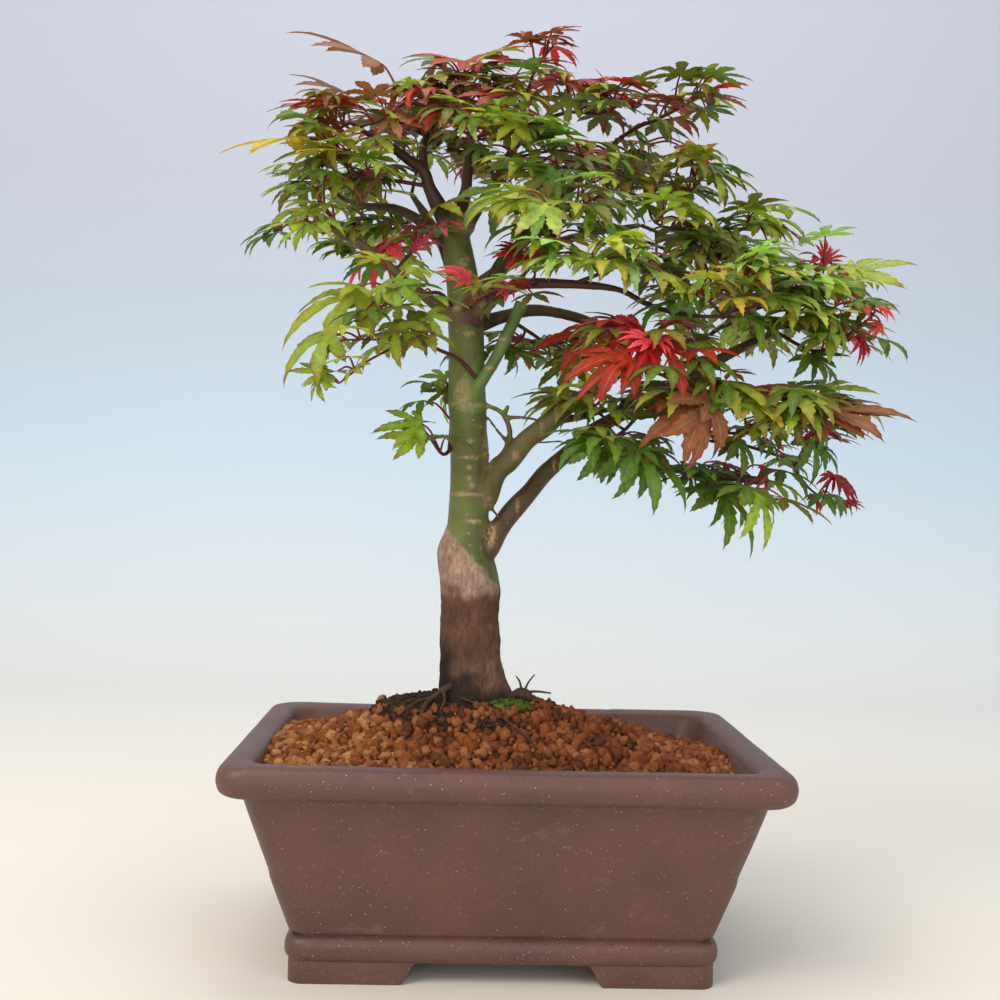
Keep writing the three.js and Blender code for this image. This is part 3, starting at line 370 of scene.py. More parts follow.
@dataclass(frozen=True)
class Finish:
    """A material made from what the real surface is."""

    name: str = "finish"

    def material(self) -> Material:
        """Builds the node material.

        Returns:
            The finished material.
        """
        made = bpy.data.materials.new(self.name)
        made.use_nodes = True
        tree = made.node_tree
        tree.nodes.clear()
        output = add_node(tree, "ShaderNodeOutputMaterial")
        tree.links.new(self.shade(tree), output.inputs["Surface"])
        return made

    def shade(self, tree: NodeTree) -> NodeSocket:
        """Builds the shader nodes and returns the shader's output socket."""
        raise NotImplementedError

    @staticmethod
    def coordinates(tree: NodeTree, stretch: Point = (1, 1, 1)) -> NodeSocket:
        """Object coordinates in millimetres, divided by a stretch along each axis."""
        source = add_node(tree, "ShaderNodeTexCoord").outputs["Object"]
        scale = tuple(1 / (MM * s) for s in stretch)
        return add_node(tree, "ShaderNodeMapping", inputs={"Vector": source, "Scale": scale}).outputs[0]

    @staticmethod
    def mix(
        tree: NodeTree, share: Any, low: Any, high: Any, blend: str = "MIX"
    ) -> NodeSocket:
        """Mixes two colours, given as hex codes, RGBA or sockets, by a share."""
        low, high = (linear(c) if isinstance(c, str) else c for c in (low, high))
        node = add_node(tree, "ShaderNodeMix", {"data_type": "RGBA", "blend_type": blend},
                        {0: share, 6: low, 7: high})
        return node.outputs[2]

    @staticmethod
    def ramp(tree: NodeTree, value: NodeSocket, low: float, high: float,
             start: float = 0.0, end: float = 1.0) -> NodeSocket:
        """Maps a value from low..high to start..end, clamped."""
        return add_node(tree, "ShaderNodeMapRange", None,
                        {"Value": value, "From Min": low, "From Max": high,
                         "To Min": start, "To Max": end}).outputs[0]

    @staticmethod
    def noise(tree: NodeTree, vector: NodeSocket, size: float,
              detail: float = 3.0, rough: float = 0.55) -> NodeSocket:
        """Noise whose lumps are ``size`` millimetres across, about 0.3 to 0.7."""
        return add_node(tree, "ShaderNodeTexNoise", None,
                        {"Vector": vector, "Scale": 1 / size, "Detail": detail,
                         "Roughness": rough}).outputs["Fac"]

    @staticmethod
    def times(tree: NodeTree, a: Any, b: Any, operation: str = "MULTIPLY") -> NodeSocket:
        """Joins two numbers by an arithmetic operation."""
        return add_node(tree, "ShaderNodeMath", {"operation": operation}, {0: a, 1: b}).outputs[0]

    @staticmethod
    def attribute(tree: NodeTree, name: str, output: str = "Fac") -> NodeSocket:
        """Reads one of the mesh's own attributes."""
        return add_node(tree, "ShaderNodeAttribute", {"attribute_name": name}).outputs[output]

    @staticmethod
    def bump(tree: NodeTree, height: NodeSocket, depth: float,
             strength: Any = 1.0, under: NodeSocket | None = None) -> NodeSocket:
        """A bump ``depth`` millimetres deep, on top of another normal if one is given."""
        inputs = {"Height": height, "Distance": depth * MM, "Strength": strength}
        if under is not None:
            inputs["Normal"] = under
        return add_node(tree, "ShaderNodeBump", None, inputs).outputs[0]


@dataclass(frozen=True)
class Stoneware(Finish):
    """Unglazed stoneware, pressed and fired: a matt purple-brown clay with fine pale grog specks."""

    name: str = "unglazed_stoneware_fired"
    clay: str = "624036"
    dark_clay: str = "553830"
    speck: str = "b9aaa0"
    speck_pitch: float = 3.1  # mm between grog specks
    scuff: str = "8d7a72"

    def shade(self, tree: NodeTree) -> NodeSocket:
        """Clay with cloudy tone, grog specks, faint lime scuffs and a fine pressed grain."""
        at = self.coordinates(tree)
        cloud = self.ramp(tree, self.noise(tree, at, 38, 4), 0.32, 0.68)
        colour = self.mix(tree, cloud, self.dark_clay, self.clay)
        scuffs = self.ramp(tree, self.noise(tree, self.coordinates(tree, (5, 5, 3)), 6, 6, 0.7), 0.6, 0.76)
        colour = self.mix(tree, self.times(tree, scuffs, 0.5), colour, self.scuff)
        grain = add_node(tree, "ShaderNodeTexVoronoi", {"feature": "F1"},
                         {"Vector": at, "Scale": 1 / self.speck_pitch, "Randomness": 1.0})
        near = self.ramp(tree, grain.outputs["Distance"], 0.06, 0.1, 1.0, 0.0)
        some = self.ramp(tree, grain.outputs["Color"], 0.45, 0.55)
        colour = self.mix(tree, self.times(tree, near, self.times(tree, some, 0.75)), colour, self.speck)
        dust = add_node(tree, "ShaderNodeTexVoronoi", {"feature": "F1"},
                        {"Vector": at, "Scale": 2.1 / self.speck_pitch, "Randomness": 1.0})
        dusty = self.times(tree, self.ramp(tree, dust.outputs["Distance"], 0.09, 0.15, 0.55, 0.0),
                           self.ramp(tree, dust.outputs["Color"], 0.5, 0.6))
        colour = self.mix(tree, dusty, colour, self.speck)
        fine = self.noise(tree, at, 0.9, 4, 0.6)
        wide = self.noise(tree, at, 9, 3)
        normal = self.bump(tree, fine, 0.10, 0.8)
        normal = self.bump(tree, wide, 0.35, 0.7, normal)
        shader = add_node(tree, "ShaderNodeBsdfPrincipled", None, {
            "Base Color": colour, "Normal": normal, "IOR": 1.5, "Specular IOR Level": 0.45,
            "Roughness": self.ramp(tree, cloud, 0, 1, 0.42, 0.56)})
        return shader.outputs[0]


@dataclass(frozen=True)
class BakedClay(Finish):
    """Akadama, baked volcanic clay broken into grains: dusty, rust to straw, no shine."""

    name: str = "akadama_baked_clay_grains"
    rust: str = "8c4e28"
    dark: str = "4d2a18"
    straw: str = "b88450"
    cream: str = "dfc196"

    def shade(self, tree: NodeTree) -> NodeSocket:
        """Each grain's tone runs from dark rust through rust to straw and cream."""
        tone = self.attribute(tree, "tone")
        at = self.coordinates(tree)
        colour = self.mix(tree, self.ramp(tree, tone, 0.0, 0.35), self.dark, self.rust)
        colour = self.mix(tree, self.ramp(tree, tone, 0.45, 0.75), colour, self.straw)
        colour = self.mix(tree, self.ramp(tree, tone, 0.85, 1.0), colour, self.cream)
        mottle = self.noise(tree, at, 1.4, 4, 0.65)
        colour = self.mix(tree, self.ramp(tree, mottle, 0.3, 0.6, 0.55, 0.0), colour, self.dark)
        normal = self.bump(tree, self.noise(tree, at, 1.2, 4, 0.75), 0.7, 1.0)
        return add_node(tree, "ShaderNodeBsdfPrincipled", None, {
            "Base Color": colour, "Roughness": 0.95, "Specular IOR Level": 0.2, "Normal": normal,
        }).outputs[0]


@dataclass(frozen=True)
class Peat(Finish):
    """Old potting soil matted with fine roots: near-black, crumbly, a little damp."""

    name: str = "old_peat_soil"
    dark: str = "21160f"
    light: str = "4b2f1e"

    def shade(self, tree: NodeTree) -> NodeSocket:
        """Dark crumbs with browner fibres."""
        at = self.coordinates(tree)
        crumbs = self.noise(tree, at, 2.4, 5, 0.7)
        colour = self.mix(tree, self.ramp(tree, crumbs, 0.42, 0.68), self.dark, self.light)
        normal = self.bump(tree, self.noise(tree, at, 1.1, 4, 0.7), 0.6, 1.0)
        return add_node(tree, "ShaderNodeBsdfPrincipled", None, {
            "Base Color": colour, "Roughness": 0.85, "Specular IOR Level": 0.3, "Normal": normal,
        }).outputs[0]


@dataclass(frozen=True)
class Moss(Finish):
    """Living cushion moss: soft bright green tips over dark stems."""

    name: str = "living_cushion_moss"
    tip: str = "64822a"
    stem: str = "2a3412"

    def shade(self, tree: NodeTree) -> NodeSocket:
        """Patchy green, duller between the tufts."""
        at = self.coordinates(tree)
        patch = self.ramp(tree, self.noise(tree, at, 3.0, 4), 0.38, 0.62)
        colour = self.mix(tree, patch, self.stem, self.tip)
        return add_node(tree, "ShaderNodeBsdfPrincipled", None, {
            "Base Color": colour, "Roughness": 0.9, "Specular IOR Level": 0.2,
        }).outputs[0]


@dataclass(frozen=True)
class Bark(Finish):
    """Maple bark: smooth and green when young, fissured grey-brown when old. The mesh says which."""

    name: str = "maple_bark_grown"
    cork: str = "a98a66"
    crack: str = "2c1d15"
    lenticel_pitch: float = 5.5  # mm between breathing pores

    def shade(self, tree: NodeTree) -> NodeSocket:
        """Tint from the mesh, cork on scars and pores, cracks where the bark is old."""
        at = self.coordinates(tree)
        tint = self.attribute(tree, "tint", "Color")
        old = self.attribute(tree, "old")
        scar = self.attribute(tree, "scar")
        blotch = self.noise(tree, at, 11, 4, 0.6)
        colour = self.mix(tree, self.ramp(tree, blotch, 0.3, 0.7, 0.62, 1.0), linear("000000"), tint)
        young = self.times(tree, 1.0, old, "SUBTRACT")
        pores = add_node(tree, "ShaderNodeTexVoronoi", {"feature": "F1"},
                         {"Vector": self.coordinates(tree, (1.3, 1.3, 1)),
                          "Scale": 1 / self.lenticel_pitch})
        pore = self.ramp(tree, pores.outputs["Distance"], 0.07, 0.12, 1.0, 0.0)
        pore = self.times(tree, pore, self.ramp(tree, pores.outputs["Color"], 0.4, 0.45))
        fibre = self.noise(tree, self.coordinates(tree, (1, 1, 2.4)), 1.7, 6, 0.72)
        patch = self.noise(tree, self.coordinates(tree, (1, 1, 1.6)), 7, 5, 0.65)
        grain = self.ramp(tree, fibre, 0.34, 0.62)
        broken = self.ramp(tree, self.noise(tree, at, 1.6, 3, 0.6), 0.36, 0.56)
        colour = self.mix(tree, self.times(tree, self.times(tree, scar, broken), 0.95), colour, self.cork)
        colour = self.mix(tree, self.times(tree, self.times(tree, pore, young), 0.7), colour, self.cork)
        colour = self.mix(tree, self.times(tree, old, self.ramp(tree, patch, 0.45, 0.6)),
                          colour, (1.28, 1.24, 1.18, 1.0), "MULTIPLY")
        colour = self.mix(tree, self.times(tree, old, self.ramp(tree, grain, 0.0, 1.0, 0.55, 0.0)),
                          colour, self.crack)
        normal = self.bump(tree, fibre, 0.9, self.ramp(tree, old, 0, 1, 0.06, 1.0))
        normal = self.bump(tree, self.noise(tree, at, 0.7, 3, 0.6), 0.15, 0.6, normal)
        return add_node(tree, "ShaderNodeBsdfPrincipled", None, {
            "Base Color": colour, "Normal": normal, "Specular IOR Level": 0.35,
            "Roughness": self.ramp(tree, old, 0, 1, 0.5, 0.9)}).outputs[0]


@dataclass(frozen=True)
class TwigBark(Finish):
    """First-year maple wood and leaf stalks: smooth, thin red skin with a slight gloss."""

    name: str = "maple_twig_skin"

    def shade(self, tree: NodeTree) -> NodeSocket:
        """The mesh's tint with small darker patches."""
        at = self.coordinates(tree)
        tint = self.attribute(tree, "tint", "Color")
        blotch = self.ramp(tree, self.noise(tree, at, 4, 3), 0.3, 0.7, 0.65, 1.0)
        colour = self.mix(tree, blotch, linear("1c0f0a"), tint)
        return add_node(tree, "ShaderNodeBsdfPrincipled", None, {
            "Base Color": colour, "Roughness": 0.45, "Specular IOR Level": 0.4}).outputs[0]


@dataclass(frozen=True)
class LeafBlade(Finish):
    """Living maple leaf: thin satin skin that glows when lit from behind, paler veins, dry tips."""

    name: str = "maple_leaf_living"
    dry: str = "8a4a22"
    vein_count: float = 7.0  # side veins along one lobe

    def shade(self, tree: NodeTree) -> NodeSocket:
        """Colour from the leaf's own tints by place in the lobe, then veins, blotches and dry edges."""
        place_uv = add_node(tree, "ShaderNodeUVMap", {"uv_map": "lobe"}).outputs[0]
        parts = add_node(tree, "ShaderNodeSeparateXYZ", inputs={0: place_uv})
        across, along = parts.outputs["X"], parts.outputs["Y"]
        side = self.times(tree, across, 0.5, "SUBTRACT")
        side = self.times(tree, add_node(tree, "ShaderNodeMath", {"operation": "ABSOLUTE"},
                                         {0: side}).outputs[0], 2.0)
        at = self.coordinates(tree)
        inner, outer = (self.attribute(tree, n, "Color") for n in ("tint", "tint_edge"))
        dryness = self.attribute(tree, "dry")
        blotch = self.noise(tree, at, 9, 3, 0.6)
        rim = self.times(tree, self.ramp(tree, side, 0.35, 1.0), self.ramp(tree, along, 0.15, 0.8))
        rim = self.times(tree, rim, self.ramp(tree, along, 0.5, 1.0, 0.0, 0.6), "ADD")
        rim = self.times(tree, rim, self.ramp(tree, blotch, 0.35, 0.6, 0.5, 1.2))
        colour = self.mix(tree, rim, inner, outer)
        shadow = self.ramp(tree, self.noise(tree, at, 3.5, 3), 0.32, 0.62, 0.75, 1.06)
        colour = self.mix(tree, 1.0, colour, self.grey(tree, shadow), "MULTIPLY")
        wander = self.times(tree, along, self.vein_count)
        wander = self.times(tree, wander, self.times(tree, side, -1.6), "ADD")
        wander = add_node(tree, "ShaderNodeMath", {"operation": "FRACT"}, {0: wander}).outputs[0]
        lines = self.ramp(tree, self.centred(tree, wander), 0.0, 0.16, 0.14, 0.0)
        midrib = self.ramp(tree, side, 0.03, 0.12, 0.45, 0.0)
        veins = self.times(tree, lines, midrib, "MAXIMUM")
        pale = self.mix(tree, 0.5, colour, "d8cf8a")
        colour = self.mix(tree, veins, colour, pale)
        tip, border = self.ramp(tree, along, 0.72, 0.98), self.ramp(tree, side, 0.6, 1.0, 0.0, 0.6)
        crisp = self.times(tree, tip, border, "ADD")
        crisp = self.times(tree, self.times(tree, crisp, dryness), self.ramp(tree, blotch, 0.42, 0.58))
        colour = self.mix(tree, crisp, colour, self.dry)
        under = self.attribute(tree, "under")
        pale_under = self.mix(tree, 0.45, colour, "c9d0a8")
        colour = self.mix(tree, self.times(tree, under, 0.35), colour, pale_under)
        normal = self.bump(tree, veins, 0.18, 0.7)
        skin = add_node(tree, "ShaderNodeBsdfPrincipled", None, {
            "Base Color": colour, "Normal": normal, "Roughness": 0.42, "IOR": 1.45,
            "Specular IOR Level": 0.4}).outputs[0]
        warm = add_node(tree, "ShaderNodeHueSaturation", None,
                        {"Saturation": 1.1, "Value": 1.5, "Color": colour}).outputs[0]
        glow = add_node(tree, "ShaderNodeBsdfTranslucent", None, {"Color": warm}).outputs[0]
        return add_node(tree, "ShaderNodeMixShader", None, {0: 0.48, 1: skin, 2: glow}).outputs[0]

    @staticmethod
    def grey(tree: NodeTree, value: NodeSocket) -> NodeSocket:
        """A grey of that value."""
        return add_node(tree, "ShaderNodeCombineColor", None, {0: value, 1: value, 2: value}).outputs[0]

    @staticmethod
    def centred(tree: NodeTree, value: NodeSocket) -> NodeSocket:
        """Distance from one half."""
        apart = add_node(tree, "ShaderNodeMath", {"operation": "SUBTRACT"}, {0: value, 1: 0.5}).outputs[0]
        return add_node(tree, "ShaderNodeMath", {"operation": "ABSOLUTE"}, {0: apart}).outputs[0]


@dataclass(frozen=True)
class Plain(Finish):
    """A plain moulded, drawn or crushed material of one colour."""

    name: str = "plain"
    colour: str = "808080"
    rough: float = 0.5
    metallic: float = 0.0

    def shade(self, tree: NodeTree) -> NodeSocket:
        """One colour, one roughness."""
        return add_node(tree, "ShaderNodeBsdfPrincipled", None, {
            "Base Color": linear(self.colour), "Roughness": self.rough, "Metallic": self.metallic,
        }).outputs[0]


@dataclass(frozen=True)
class Backdrop(Finish):
    """Seamless studio paper, cream at the floor and fading to a cool grey-blue up the wall: painted shade,
    the paper coloured darker and cooler where less light reaches it.
    """

    name: str = "studio_paper"
    floor: str = "dcd5c9"
    wall_shade: str = "b9cad6"
    top: str = "b9bdc9"
    wall_shade_at: float = 0.55  # metres up the wall, counting a quarter of the way back over the floor
    top_at: float = 0.95

    def shade(self, tree: NodeTree) -> NodeSocket:
        """The tone follows the way back and up the paper, with painted shade darkening and cooling it up the
        wall.
        """
        source = add_node(tree, "ShaderNodeTexCoord").outputs["Object"]
        place_on = add_node(tree, "ShaderNodeSeparateXYZ", inputs={0: source})
        back = self.ramp(tree, place_on.outputs["Y"], 0.2, 1.4, 0.0, 0.3)
        height = self.times(tree, place_on.outputs["Z"], back, "ADD")
        # painted shade: the wall is coloured darker and cooler than the floor
        colour = self.mix(tree, self.ramp(tree, height, 0.0, self.wall_shade_at), self.floor, self.wall_shade)
        colour = self.mix(tree, self.ramp(tree, height, self.wall_shade_at, self.top_at), colour, self.top)
        return add_node(tree, "ShaderNodeBsdfPrincipled", None, {
            "Base Color": colour, "Roughness": 0.9, "Specular IOR Level": 0.1}).outputs[0]


# ---- The pot ----------------------------------------------------------------------------------------


@dataclass
class Pot:
    """The stoneware pot: tapered walls under a rolled lip, a bead at the base and four corner feet."""

    half_length: float = 125.0
    half_width: float = 89.6
    corner: float = 12.0
    underside: float = 9.5
    floor_top: float = 17.5
    rim: float = 100.6
    foot_inset: float = 29.6
    foot_length_x: float = 50.0
    foot_length_y: float = 36.0
    foot_thickness: float = 14.0
    foot_slope: float = 7.0
    hole_radius: float = 11.0
    hole_offset: float = 48.0
    rim_block: float = 62.0  # length of the thicker corner blocks of the lip
    finish: Finish = field(default_factory=Stoneware)

    def inner_inset(self, z: float) -> float:
        """How far the inside wall stands in from the rim's outer edge at a height."""
        share = min(max((z - self.floor_top) / (self.rim - self.floor_top), 0), 1)
        return 37 + (14.6 - 37) * share

    def outline(self, inset: float, z: float, corner: float, per_side: int = 84) -> np.ndarray:
        """A rounded rectangle of points, anticlockwise from above.

        Args:
            inset: how far it stands in from the rim's outer edge.
            z: its height.
            corner: its corner radius.
            per_side: pieces along each straight side.

        Returns:
            The ring of points.
        """
        half_x, half_y = self.half_length - inset, self.half_width - inset
        centres = [(1, 1, 0), (-1, 1, 90), (-1, -1, 180), (1, -1, 270)]
        ring = []
        for index, (sx, sy, start) in enumerate(centres):
            cx, cy = sx * (half_x - corner), sy * (half_y - corner)
            arc = [math.radians(start + 90 * i / 8) for i in range(9)]
            ring.extend((cx + corner * math.cos(a), cy + corner * math.sin(a), z) for a in arc)
            nx, ny, turn = centres[(index + 1) % 4]
            a = math.radians(turn)
            end = (nx * (half_x - corner) + corner * math.cos(a),
                   ny * (half_y - corner) + corner * math.sin(a), z)
            begin = ring[-1]
            for i in range(1, per_side):
                t = i / per_side
                ring.append(tuple(b + (e - b) * t for b, e in zip(begin, end)))
        return np.array(ring)

    def profile(self) -> list[tuple[float, float]]:
        """The wall's section as (inset, height), from under the floor, up outside and down inside."""
        outside = smooth_route([
            (31.4, self.underside), (29.2, 10.0), (27.8, 12.0), (27.4, 14.4), (27.5, 17.0),
            (28.3, 19.3), (30.0, 20.7), (30.4, 21.2)], 3)
        wall = smooth_route([(30.3, 21.4), (29.4, 22.2), (28.5, 23.4), (23.6, 39.0), (18.7, 55.0),
                             (13.9, 70.5), (10.2, 83.0), (9.3, 85.6)], 4)
        lip = smooth_route([(8.6, 86.3), (6.2, 86.4), (3.4, 87.0), (1.3, 88.9), (0.3, 91.6), (0.0, 94.6),
                            (0.6, 97.6), (1.9, 99.6), (4.2, 100.5), (7.6, 100.6), (11.0, 100.4),
                            (13.2, 99.5), (14.5, 97.6), (15.4, 95.0)], 3)
        inside = smooth_route([(self.inner_inset(92), 92.0), (self.inner_inset(60), 60.0),
                               (self.inner_inset(24), 24.0), (36.6, 20.4), (39.6, 18.0),
                               (43.0, self.floor_top)], 3)
        return [tuple(p) for p in np.vstack([outside, wall, lip, inside])]

    def shell(self) -> Shape:
        """The thrown body: rings of the section joined and capped, a little uneven as pressed clay is.

        Returns:
            Vertices in millimetres and faces.
        """
        rings = []
        for inset, z in self.profile():
            corner = max(4.0, self.corner - (0.0 if inset < 20 else 3.0))
            rings.append(self.outline(inset, z, corner))
        count = len(rings[0])
        vertices = np.vstack(rings)
        faces = [
            [r * count + i, r * count + (i + 1) % count, (r + 1) * count + (i + 1) % count,
             (r + 1) * count + i]
            for r in range(len(rings) - 1) for i in range(count)
        ]
        faces.append(list(range(count))[::-1])
        faces.append([(len(rings) - 1) * count + i for i in range(count)])
        return self.unevenness(vertices), faces

    def unevenness(self, vertices: np.ndarray) -> np.ndarray:
        """Moves the points by the slow waves of hand finishing and the lip's thicker corner blocks.

        Args:
            vertices: points in millimetres.

        Returns:
            The moved points.
        """
        moved = vertices.copy()
        for index, (x, y, z) in enumerate(vertices):
            if z < self.underside + 0.4:
                continue
            outward = Vector((x / self.half_length, y / self.half_width, 0))
            wave = 0.28 * fractal((x, y, z), 46, 2) + 0.08 * fractal((x, y, z), 9, 2)
            if z > 86:
                reach = self.half_length - abs(x)
                block = float(smoothstep(self.rim_block + 1.6, self.rim_block - 1.6, reach))
                seam = math.exp(-(((reach - self.rim_block) / 2.0) ** 2))
                wave += 0.45 * block - 1.0 * seam * (1 if abs(y) > self.half_width - 8 else 0)
                moved[index, 2] += 0.18 * fractal((x, y, 0), 30, 2) - 0.25 * (1 - block)
            moved[index, :2] += np.array(outward.normalized()[:2]) * (wave - 0.45)
        return moved

    def foot_bar(self, length: float) -> Shape:
        """One leg of a foot: a bar along +X from the corner, with an S-shaped free end.

        Args:
            length: the leg's length on the floor.

        Returns:
            Vertices and faces.
        """
        top = self.underside + 2.0
        curve = [(length + self.foot_slope * s, self.underside * (3 * s * s - 2 * s**3))
                 for s in np.linspace(0, 1, 9)]
        side = [(0.0, 0.0), *curve, (length + self.foot_slope, top), (0.0, top)]
        count = len(side)
        vertices = [(x, y, z) for y in (0.0, self.foot_thickness) for x, z in side]
        faces = [[i, (i + 1) % count, count + (i + 1) % count, count + i] for i in range(count)]
        faces.extend([list(range(count))[::-1], list(range(count, 2 * count))])
        return np.array(vertices), faces

    def feet(self) -> Object:
        """The four L-shaped corner feet with softened edges, as one object."""
        corner_x, corner_y = self.half_length - self.foot_inset, self.half_width - self.foot_inset
        pieces = []
        for sx in (1, -1):
            for sy in (1, -1):
                front, front_faces = self.foot_bar(self.foot_length_x)
                side, side_faces = self.foot_bar(self.foot_length_y)
                side = side[:, [1, 0, 2]]
                legs = []
                for bar, polygons in ((front, front_faces), (side, side_faces)):
                    bar = (bar - np.array([corner_x, corner_y, 0])) * np.array([-sx, -sy, 1])
                    leg = mesh_object("foot_leg", bar * MM, polygons)
                    recalculate_normals(leg)
                    legs.append(leg)
                pieces.append(boolean(legs[0], legs[1], "UNION"))
        core = self.outline(self.foot_inset, 0, 7.0, 2)
        count = len(core)
        block = np.vstack([core + (0, 0, -2), core + (0, 0, self.underside + 4)])
        faces = [[i, (i + 1) % count, count + (i + 1) % count, count + i] for i in range(count)]
        faces.extend([list(range(count))[::-1], list(range(count, 2 * count))])
        rounding = mesh_object("foot_rounding", block * MM, faces)
        feet = join_objects(pieces)
        feet = boolean(feet, rounding, "INTERSECT")
        bevel = feet.modifiers.new("softened", "BEVEL")
        bevel.width, bevel.segments, bevel.limit_method = 1.3 * MM, 3, "ANGLE"
        bevel.angle_limit = math.radians(40)
        return bake_modifiers(feet)

    def build(self) -> Object:
        """Makes the pot and puts it in the frame.

        Returns:
            The finished pot.
        """
        vertices, faces = self.shell()
        body = mesh_object("pot", vertices * MM, faces)
        recalculate_normals(body)
        for side in (-1, 1):
            drill, drill_faces = tube(
                np.array([[side * self.hole_offset, 0, z] for z in (4.0, 13.0, 22.0)]),
                np.full(3, self.hole_radius), 40)
            cutter = mesh_object("drill", drill * MM, drill_faces)
            recalculate_normals(cutter)
            body = boolean(body, cutter, "DIFFERENCE")
        body = join_objects([body, self.feet()])
        body.data.transform(Matrix.Translation(CENTRE))
        dress(body, self.finish.material())
        hand_over(body, "pot_body")
        return body


def recalculate_normals(target: Object) -> None:
    """Merges doubles and turns every face of a closed mesh outwards."""
    work = bmesh.new()
    work.from_mesh(target.data)
    bmesh.ops.remove_doubles(work, verts=work.verts, dist=1e-7)
    bmesh.ops.recalc_face_normals(work, faces=work.faces)
    work.to_mesh(target.data)
    work.free()


def boolean(target: Object, other: Object, operation: str) -> Object:
    """Joins, cuts or intersects one solid with another, which is used up."""
    step = target.modifiers.new("solid", "BOOLEAN")
    step.operation, step.object, step.solver = operation, other, "EXACT"
    bake_modifiers(target)
    bpy.data.objects.remove(other)
    return target


def join_objects(objects: Sequence[Object]) -> Object:
    """Joins objects into the first one."""
    with bpy.context.temp_override(
        active_object=objects[0], object=objects[0], selected_objects=list(objects),
        selected_editable_objects=list(objects),
    ):
        bpy.ops.object.join()
    return objects[0]


def dress(target: Object, *materials: Material) -> None:
    """Gives an object its materials and smooth faces."""
    target.data.materials.clear()
    for material in materials:
        target.data.materials.append(material)
    target.data.shade_smooth()


def hand_over(piece: Object, *nodes: str) -> None:
    """Lets a finished piece stand for CAD nodes and logs it."""
    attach(piece, "root")
    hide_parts(*nodes)
    LOG.info("%s: %d faces", piece.name, len(piece.data.polygons))


# ---- Below and on the soil --------------------------------------------------------------------------


@dataclass
class Drainage:
    """Screens, wires and coarse grit at the bottom of the pot: the CAD solids in their materials."""

    screen: Finish = Plain("polyethylene_mesh_moulded", "2c2f30", 0.55)
    wire: Finish = Plain("aluminium_wire_drawn", "a9adaf", 0.3, 1.0)
    grit: Finish = Plain("pumice_crushed", "b8b0a0", 0.95)

    def build(self) -> None:
        """Dresses the CAD nodes, which stay as they are."""
        screen, wire = self.screen.material(), self.wire.material()
        parts = {"drain_mesh_left": screen, "drain_mesh_right": screen, "mesh_wire_left": wire,
                 "mesh_wire_right": wire, "drainage_layer": self.grit.material()}
        for node, material in parts.items():
            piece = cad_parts[node]
            piece.data.materials.clear()
            piece.data.materials.append(material)
            LOG.info("%s: kept from CAD", node)


